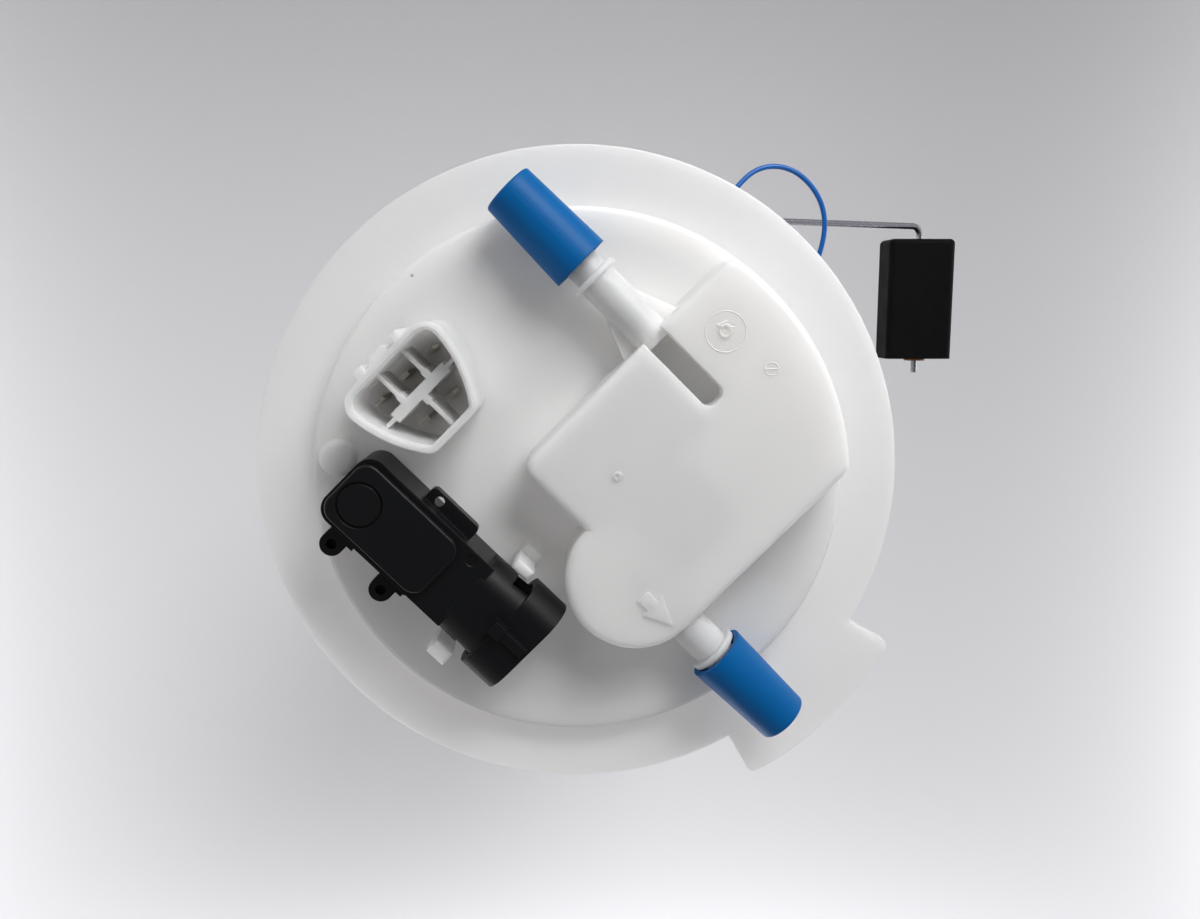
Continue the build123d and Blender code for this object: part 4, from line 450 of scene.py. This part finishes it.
# The vent valve hangs under the disc: a can with a perforated cap and a float that shuts the vent.
# All of it is natural acetal, welded shut.
dress(acetal, "vent_valve_body", "vent_valve_cap", "vent_valve_float")


# The reservoir: a deep cup moulded in natural acetal, a little greyer than the flange, with a lid that
# snaps over its pegs. It keeps the pump in fuel and stands on the tank's floor, pressed down by the
# springs. A rubber foot valve in its floor lets fuel in.
cup_acetal = natural_acetal("moulded_cup_acetal", "#E6E5E2", "#DDDCD8")
dress(cup_acetal, "reservoir_cup", "reservoir_lid")
dress(nitrile, "foot_valve")


# The pump: a rolled steel can, zinc plated, with moulded ends. Inside turn a wound core with its
# copper commutator and a vaned phenolic impeller, between two ferrite magnets and two carbon brushes.
# The zinc is a pale, faintly blotched grey, the turned copper shows fine rings, and the core shows the
# edges of its plates. The resin is a dull brown, and ferrite and carbon are dull near-blacks.
zinc = metal("zinc_plated_steel", "#AEB1B5", "#8D9095", 0.32, 1.6)
copper = metal("turned_copper", "#B87752", "#8F5638", 0.3, 0.3, (1.0, 1.0, 9.0))
core_steel = metal("stacked_steel_plates", "#83858A", "#5F6166", 0.4, 0.5, (0.1, 0.1, 2.0))
phenolic = moulded("moulded_phenolic_resin", "#4A3325", "#3B281C", 0.5, 0.4, 0.015, 3.0)
ferrite = moulded("sintered_ferrite", "#2C2C2F", "#222225", 0.6, 0.3, 0.02, 2.0)
carbon = moulded("pressed_carbon", "#1B1B1C", "#121213", 0.5, 0.3, 0.01, 2.0)
dress(zinc, "pump_case", "pressure_regulator")
dress(black_pbt, "pump_outlet_cover")
dress(phenolic, "pump_inlet_cover", "impeller_ring", "impeller")
dress(core_steel, "armature")
dress(ground_steel, "rotor_shaft")
dress(nitrile, "pump_isolator")
dress(acetal, "check_valve_poppet")
dress(copper, "commutator")
dress(ferrite, "magnet_1", "magnet_2")
dress(carbon, "brushes")


# The inlet strainer: woven nylon cloth welded round its rim into a flat sock on the pump's inlet.
WEAVE_SCALE = 200.0


def woven_nylon():
    """A plain weave, drawn with a thread each 1.6 mm because the real 0.1 mm would not show."""
    made, tree, shader, place = material("woven_nylon_cloth", Roughness=0.7, Sheen_Weight=0.2)
    warp = add(tree, "ShaderNodeTexWave", {"bands_direction": "X"}, {"Vector": place, "Scale": WEAVE_SCALE})
    weft = add(tree, "ShaderNodeTexWave", {"bands_direction": "Y"}, {"Vector": place, "Scale": WEAVE_SCALE})
    weave = add(tree, "ShaderNodeMath", {"operation": "MULTIPLY"},
                {0: warp.outputs["Fac"], 1: weft.outputs["Fac"]}).outputs[0]
    colour = add(tree, "ShaderNodeMix", {"data_type": "RGBA"},
                 {0: weave, 6: linear("#B5B2A6"), 7: linear("#DAD8CF")})
    tree.links.new(colour.outputs[2], shader.inputs["Base Color"])
    bump = add(tree, "ShaderNodeBump", {}, {"Strength": 1.0, "Distance": 0.00015, "Height": weave})
    tree.links.new(bump.outputs[0], shader.inputs["Normal"])
    return made


dress(woven_nylon(), "inlet_strainer")


# The fuel hose: corrugated nylon tube, blow moulded, with a plain cuff over the barb at each end.
# The nylon has a soft black sheen.
hose_nylon = moulded("corrugated_black_nylon", "#1A1B1D", "#111214", 0.38, 0.6, 0.01, 8.0, IOR=1.53)
HOSE_CUFF = 0.0125
HOSE_PITCH = 0.0026
HOSE_DEPTH = 0.0009
HOSE_STEPS = 330
HOSE_SIDES = 48


def hose_tree():
    """A corrugated tube that hangs from z = 0 down to its length, with plain ends."""
    floats = ("Radius", "Length", "Cuff", "Pitch", "Depth")
    tree, source, identifiers = new_tree("corrugated_hose", {label: "NodeSocketFloat" for label in floats})
    down_z = add(tree, "ShaderNodeMath", {"operation": "MULTIPLY"}, {0: source["Length"], 1: -1.0})
    foot = add(tree, "ShaderNodeCombineXYZ", {}, {"Z": down_z.outputs[0]})
    line = add(tree, "GeometryNodeCurvePrimitiveLine", {}, {"End": foot.outputs[0]})
    steps = add(tree, "GeometryNodeResampleCurve", {}, {"Curve": line.outputs[0], "Count": HOSE_STEPS})
    down = add(tree, "GeometryNodeSplineParameter").outputs["Length"]
    left = add(tree, "ShaderNodeMath", {"operation": "SUBTRACT"}, {0: source["Length"], 1: down})
    nearest = add(tree, "ShaderNodeMath", {"operation": "MINIMUM"}, {0: down, 1: left.outputs[0]})
    cuff_end = add(tree, "ShaderNodeMath", {"operation": "ADD"}, {0: source["Cuff"], 1: source["Pitch"]})
    inside = add(tree, "ShaderNodeMapRange", {}, {"Value": nearest.outputs[0], "From Min": source["Cuff"],
                                                  "From Max": cuff_end.outputs[0]})
    count = add(tree, "ShaderNodeMath", {"operation": "DIVIDE"}, {0: down, 1: source["Pitch"]})
    phase = add(tree, "ShaderNodeMath", {"operation": "MULTIPLY"}, {0: count.outputs[0], 1: math.tau})
    cosine = add(tree, "ShaderNodeMath", {"operation": "COSINE"}, {0: phase.outputs[0]})
    half_wave = add(tree, "ShaderNodeMath", {"operation": "MULTIPLY"}, {0: cosine.outputs[0], 1: 0.5})
    wave = add(tree, "ShaderNodeMath", {"operation": "ADD"}, {0: half_wave.outputs[0], 1: 0.5})
    share = add(tree, "ShaderNodeMath", {"operation": "MULTIPLY"}, {0: wave.outputs[0], 1: inside.outputs[0]})
    dent = add(tree, "ShaderNodeMath", {"operation": "MULTIPLY"}, {0: share.outputs[0], 1: source["Depth"]})
    radius = add(tree, "ShaderNodeMath", {"operation": "SUBTRACT"},
                 {0: source["Radius"], 1: dent.outputs[0]}).outputs[0]
    sized = add(tree, "GeometryNodeSetCurveRadius", {}, {"Curve": steps.outputs[0], "Radius": radius})
    ring = add(tree, "GeometryNodeCurvePrimitiveCircle", {"mode": "RADIUS"},
               {"Resolution": HOSE_SIDES, "Radius": 1.0})
    skin = add(tree, "GeometryNodeCurveToMesh", {}, {"Curve": sized.outputs[0], "Scale": radius,
                                                     "Profile Curve": ring.outputs[0], "Fill Caps": True})
    end_tree(tree, skin.outputs[0], hose_nylon)
    return tree, identifiers


low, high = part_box("fuel_hose")
hose_sizes = {"Radius": (high.x - low.x) / 2, "Length": high.z - low.z, "Cuff": HOSE_CUFF,
              "Pitch": HOSE_PITCH, "Depth": HOSE_DEPTH}
hose_axis = ((low.x + high.x) / 2, (low.y + high.y) / 2, high.z)
hose = grown(*hose_tree(), hose_sizes, "corrugated_hose", hose_axis)
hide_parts("fuel_hose")
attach(hose, "flange")
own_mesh(hose)


# The level sender: a black nylon tray that holds a ceramic card with printed resistor tracks. A brass
# wiper under the acetal hub sweeps over them as the arm turns on its post.
# The glass in the nylon dulls its black, and fired alumina is a chalky off-white
black_nylon = moulded("glass_filled_black_nylon", "#17191C", "#101214", 0.44, 0.35, 0.014, 9.0, 0.3, IOR=1.53)
dress(black_nylon, "sender_housing")
alumina = moulded("fired_alumina", "#D9D9D3", "#CBCBC4", 0.55, 0.2, 0.006, 4.0, 0.1)
dress(alumina, "sender_card")
dress(tinned_brass, "sender_terminals", "wiper_contacts")
dress(acetal, "arm_hub")


# The float arm: bright spring-steel wire with a float of closed-cell nitrile foam on its bent end. The
# foam is dry and near black with pinholes, and an amber nylon washer keeps it on the wire.
arm_steel = metal("drawn_steel_wire", "#C4C6CA", "#9EA1A7", 0.26, 0.5, (0.3, 1.0, 0.3))
dress(arm_steel, "float_arm_wire")


FOAM_CELLS_PER_METRE = 2400.0
FOAM_PATCHES_PER_METRE = 120.0


def nitrile_foam():
    """Closed-cell foam: cells of about 0.4 mm, which show as fine pinholes in a dry surface."""
    made, tree, shader, place = material("closed_cell_nitrile_foam", IOR=1.45, Specular_IOR_Level=0.15)
    flow = add(tree, "ShaderNodeTexNoise", {}, {"Vector": place, "Scale": FOAM_PATCHES_PER_METRE,
                                                "Detail": 4.0})
    colour = add(tree, "ShaderNodeMix", {"data_type": "RGBA"},
                 {0: flow.outputs[0], 6: linear("#0A0A0B"), 7: linear("#060607")})
    tree.links.new(colour.outputs[2], shader.inputs["Base Color"])
    cells = add(tree, "ShaderNodeTexVoronoi", {}, {"Vector": place, "Scale": FOAM_CELLS_PER_METRE})
    gloss = add(tree, "ShaderNodeMapRange", {}, {"Value": flow.outputs[0], "To Min": 0.55, "To Max": 0.75})
    tree.links.new(gloss.outputs[0], shader.inputs["Roughness"])
    bump = add(tree, "ShaderNodeBump", {}, {"Strength": 1.0, "Distance": 0.00006,
                                            "Height": cells.outputs["Distance"]})
    tree.links.new(bump.outputs[0], shader.inputs["Normal"])
    return made


dress(nitrile_foam(), "float_block")
amber_nylon = moulded("amber_nylon", "#A5601F", "#8A4D18", 0.4, 0.4, 0.01, 2.0, IOR=1.53)
dress(amber_nylon, "float_retainer")


# The studio: a plain pale floor under the reservoir, a soft key lamp over the flange's far side, a weak
# fill from the left, three lamps that point straight down and light only the floor, and a world that
# is pale round the horizon and dark overhead, as a room is round someone who leans over the part.
FLOOR_SIZE = 6.0
HORIZON_STRENGTH = 0.5
OVERHEAD_STRENGTH = 0.12
FLOOR_Z = cad_box[0].z
floor_mesh = bpy.data.meshes.new("floor")
half = FLOOR_SIZE / 2
floor_mesh.from_pydata([(-half, -half, FLOOR_Z), (half, -half, FLOOR_Z), (half, half, FLOOR_Z),
                        (-half, half, FLOOR_Z)], [], [(0, 1, 2, 3)])
floor = bpy.data.objects.new("floor", floor_mesh)
bpy.context.scene.collection.objects.link(floor)
pale, pale_tree, pale_shader, pale_place = material("pale_floor", Roughness=0.8)
pale_shader.inputs["Base Color"].default_value = linear("#E6E5E8")
floor_mesh.materials.append(pale)


def lamp(name, at, aim, size, power, spread):
    """A square soft lamp that points at a place. spread is its beam's width in degrees."""
    data = bpy.data.lights.new(name, "AREA")
    data.size = size
    data.energy = power
    data.spread = math.radians(spread)
    holder = bpy.data.objects.new(name, data)
    holder.location = at
    holder.rotation_mode = "QUATERNION"
    holder.rotation_quaternion = (Vector(aim) - Vector(at)).to_track_quat("-Z", "Y")
    bpy.context.scene.collection.objects.link(holder)


lamp("key_lamp", (0.18, 0.35, 0.27), (0.0, 0.0, 0.0), 0.25, 0.34, 66.0)
lamp("fill_lamp", (-0.55, 0.10, 0.45), (0.0, 0.0, -0.05), 0.5, 0.3, 180.0)
lamp("left_floor_lamp", (-0.60, -0.08, -0.06), (-0.60, -0.08, FLOOR_Z), 0.45, 3.1, 180.0)
lamp("right_floor_lamp", (0.60, -0.08, -0.06), (0.60, -0.08, FLOOR_Z), 0.45, 3.0, 180.0)
lamp("front_floor_lamp", (0.0, -0.55, -0.08), (0.0, -0.55, FLOOR_Z), 0.45, 2.9, 180.0)
world = bpy.data.worlds.new("studio_world")
bpy.context.scene.world = world
world.use_nodes = True
world.node_tree.nodes.clear()
heading = add(world.node_tree, "ShaderNodeTexCoord").outputs["Generated"]
parts = add(world.node_tree, "ShaderNodeSeparateXYZ", {}, {"Vector": heading})
height = add(world.node_tree, "ShaderNodeMapRange", {"interpolation_type": "SMOOTHSTEP"},
             {"Value": parts.outputs["Z"], "From Min": 0.35, "From Max": 0.95,
              "To Min": HORIZON_STRENGTH, "To Max": OVERHEAD_STRENGTH})
sky = add(world.node_tree, "ShaderNodeBackground", {}, {"Color": linear("#F1F1F4"),
                                                        "Strength": height.outputs[0]})
add(world.node_tree, "ShaderNodeOutputWorld", {}, {"Surface": sky.outputs[0]})
bpy.context.scene.view_settings.view_transform = "Standard"
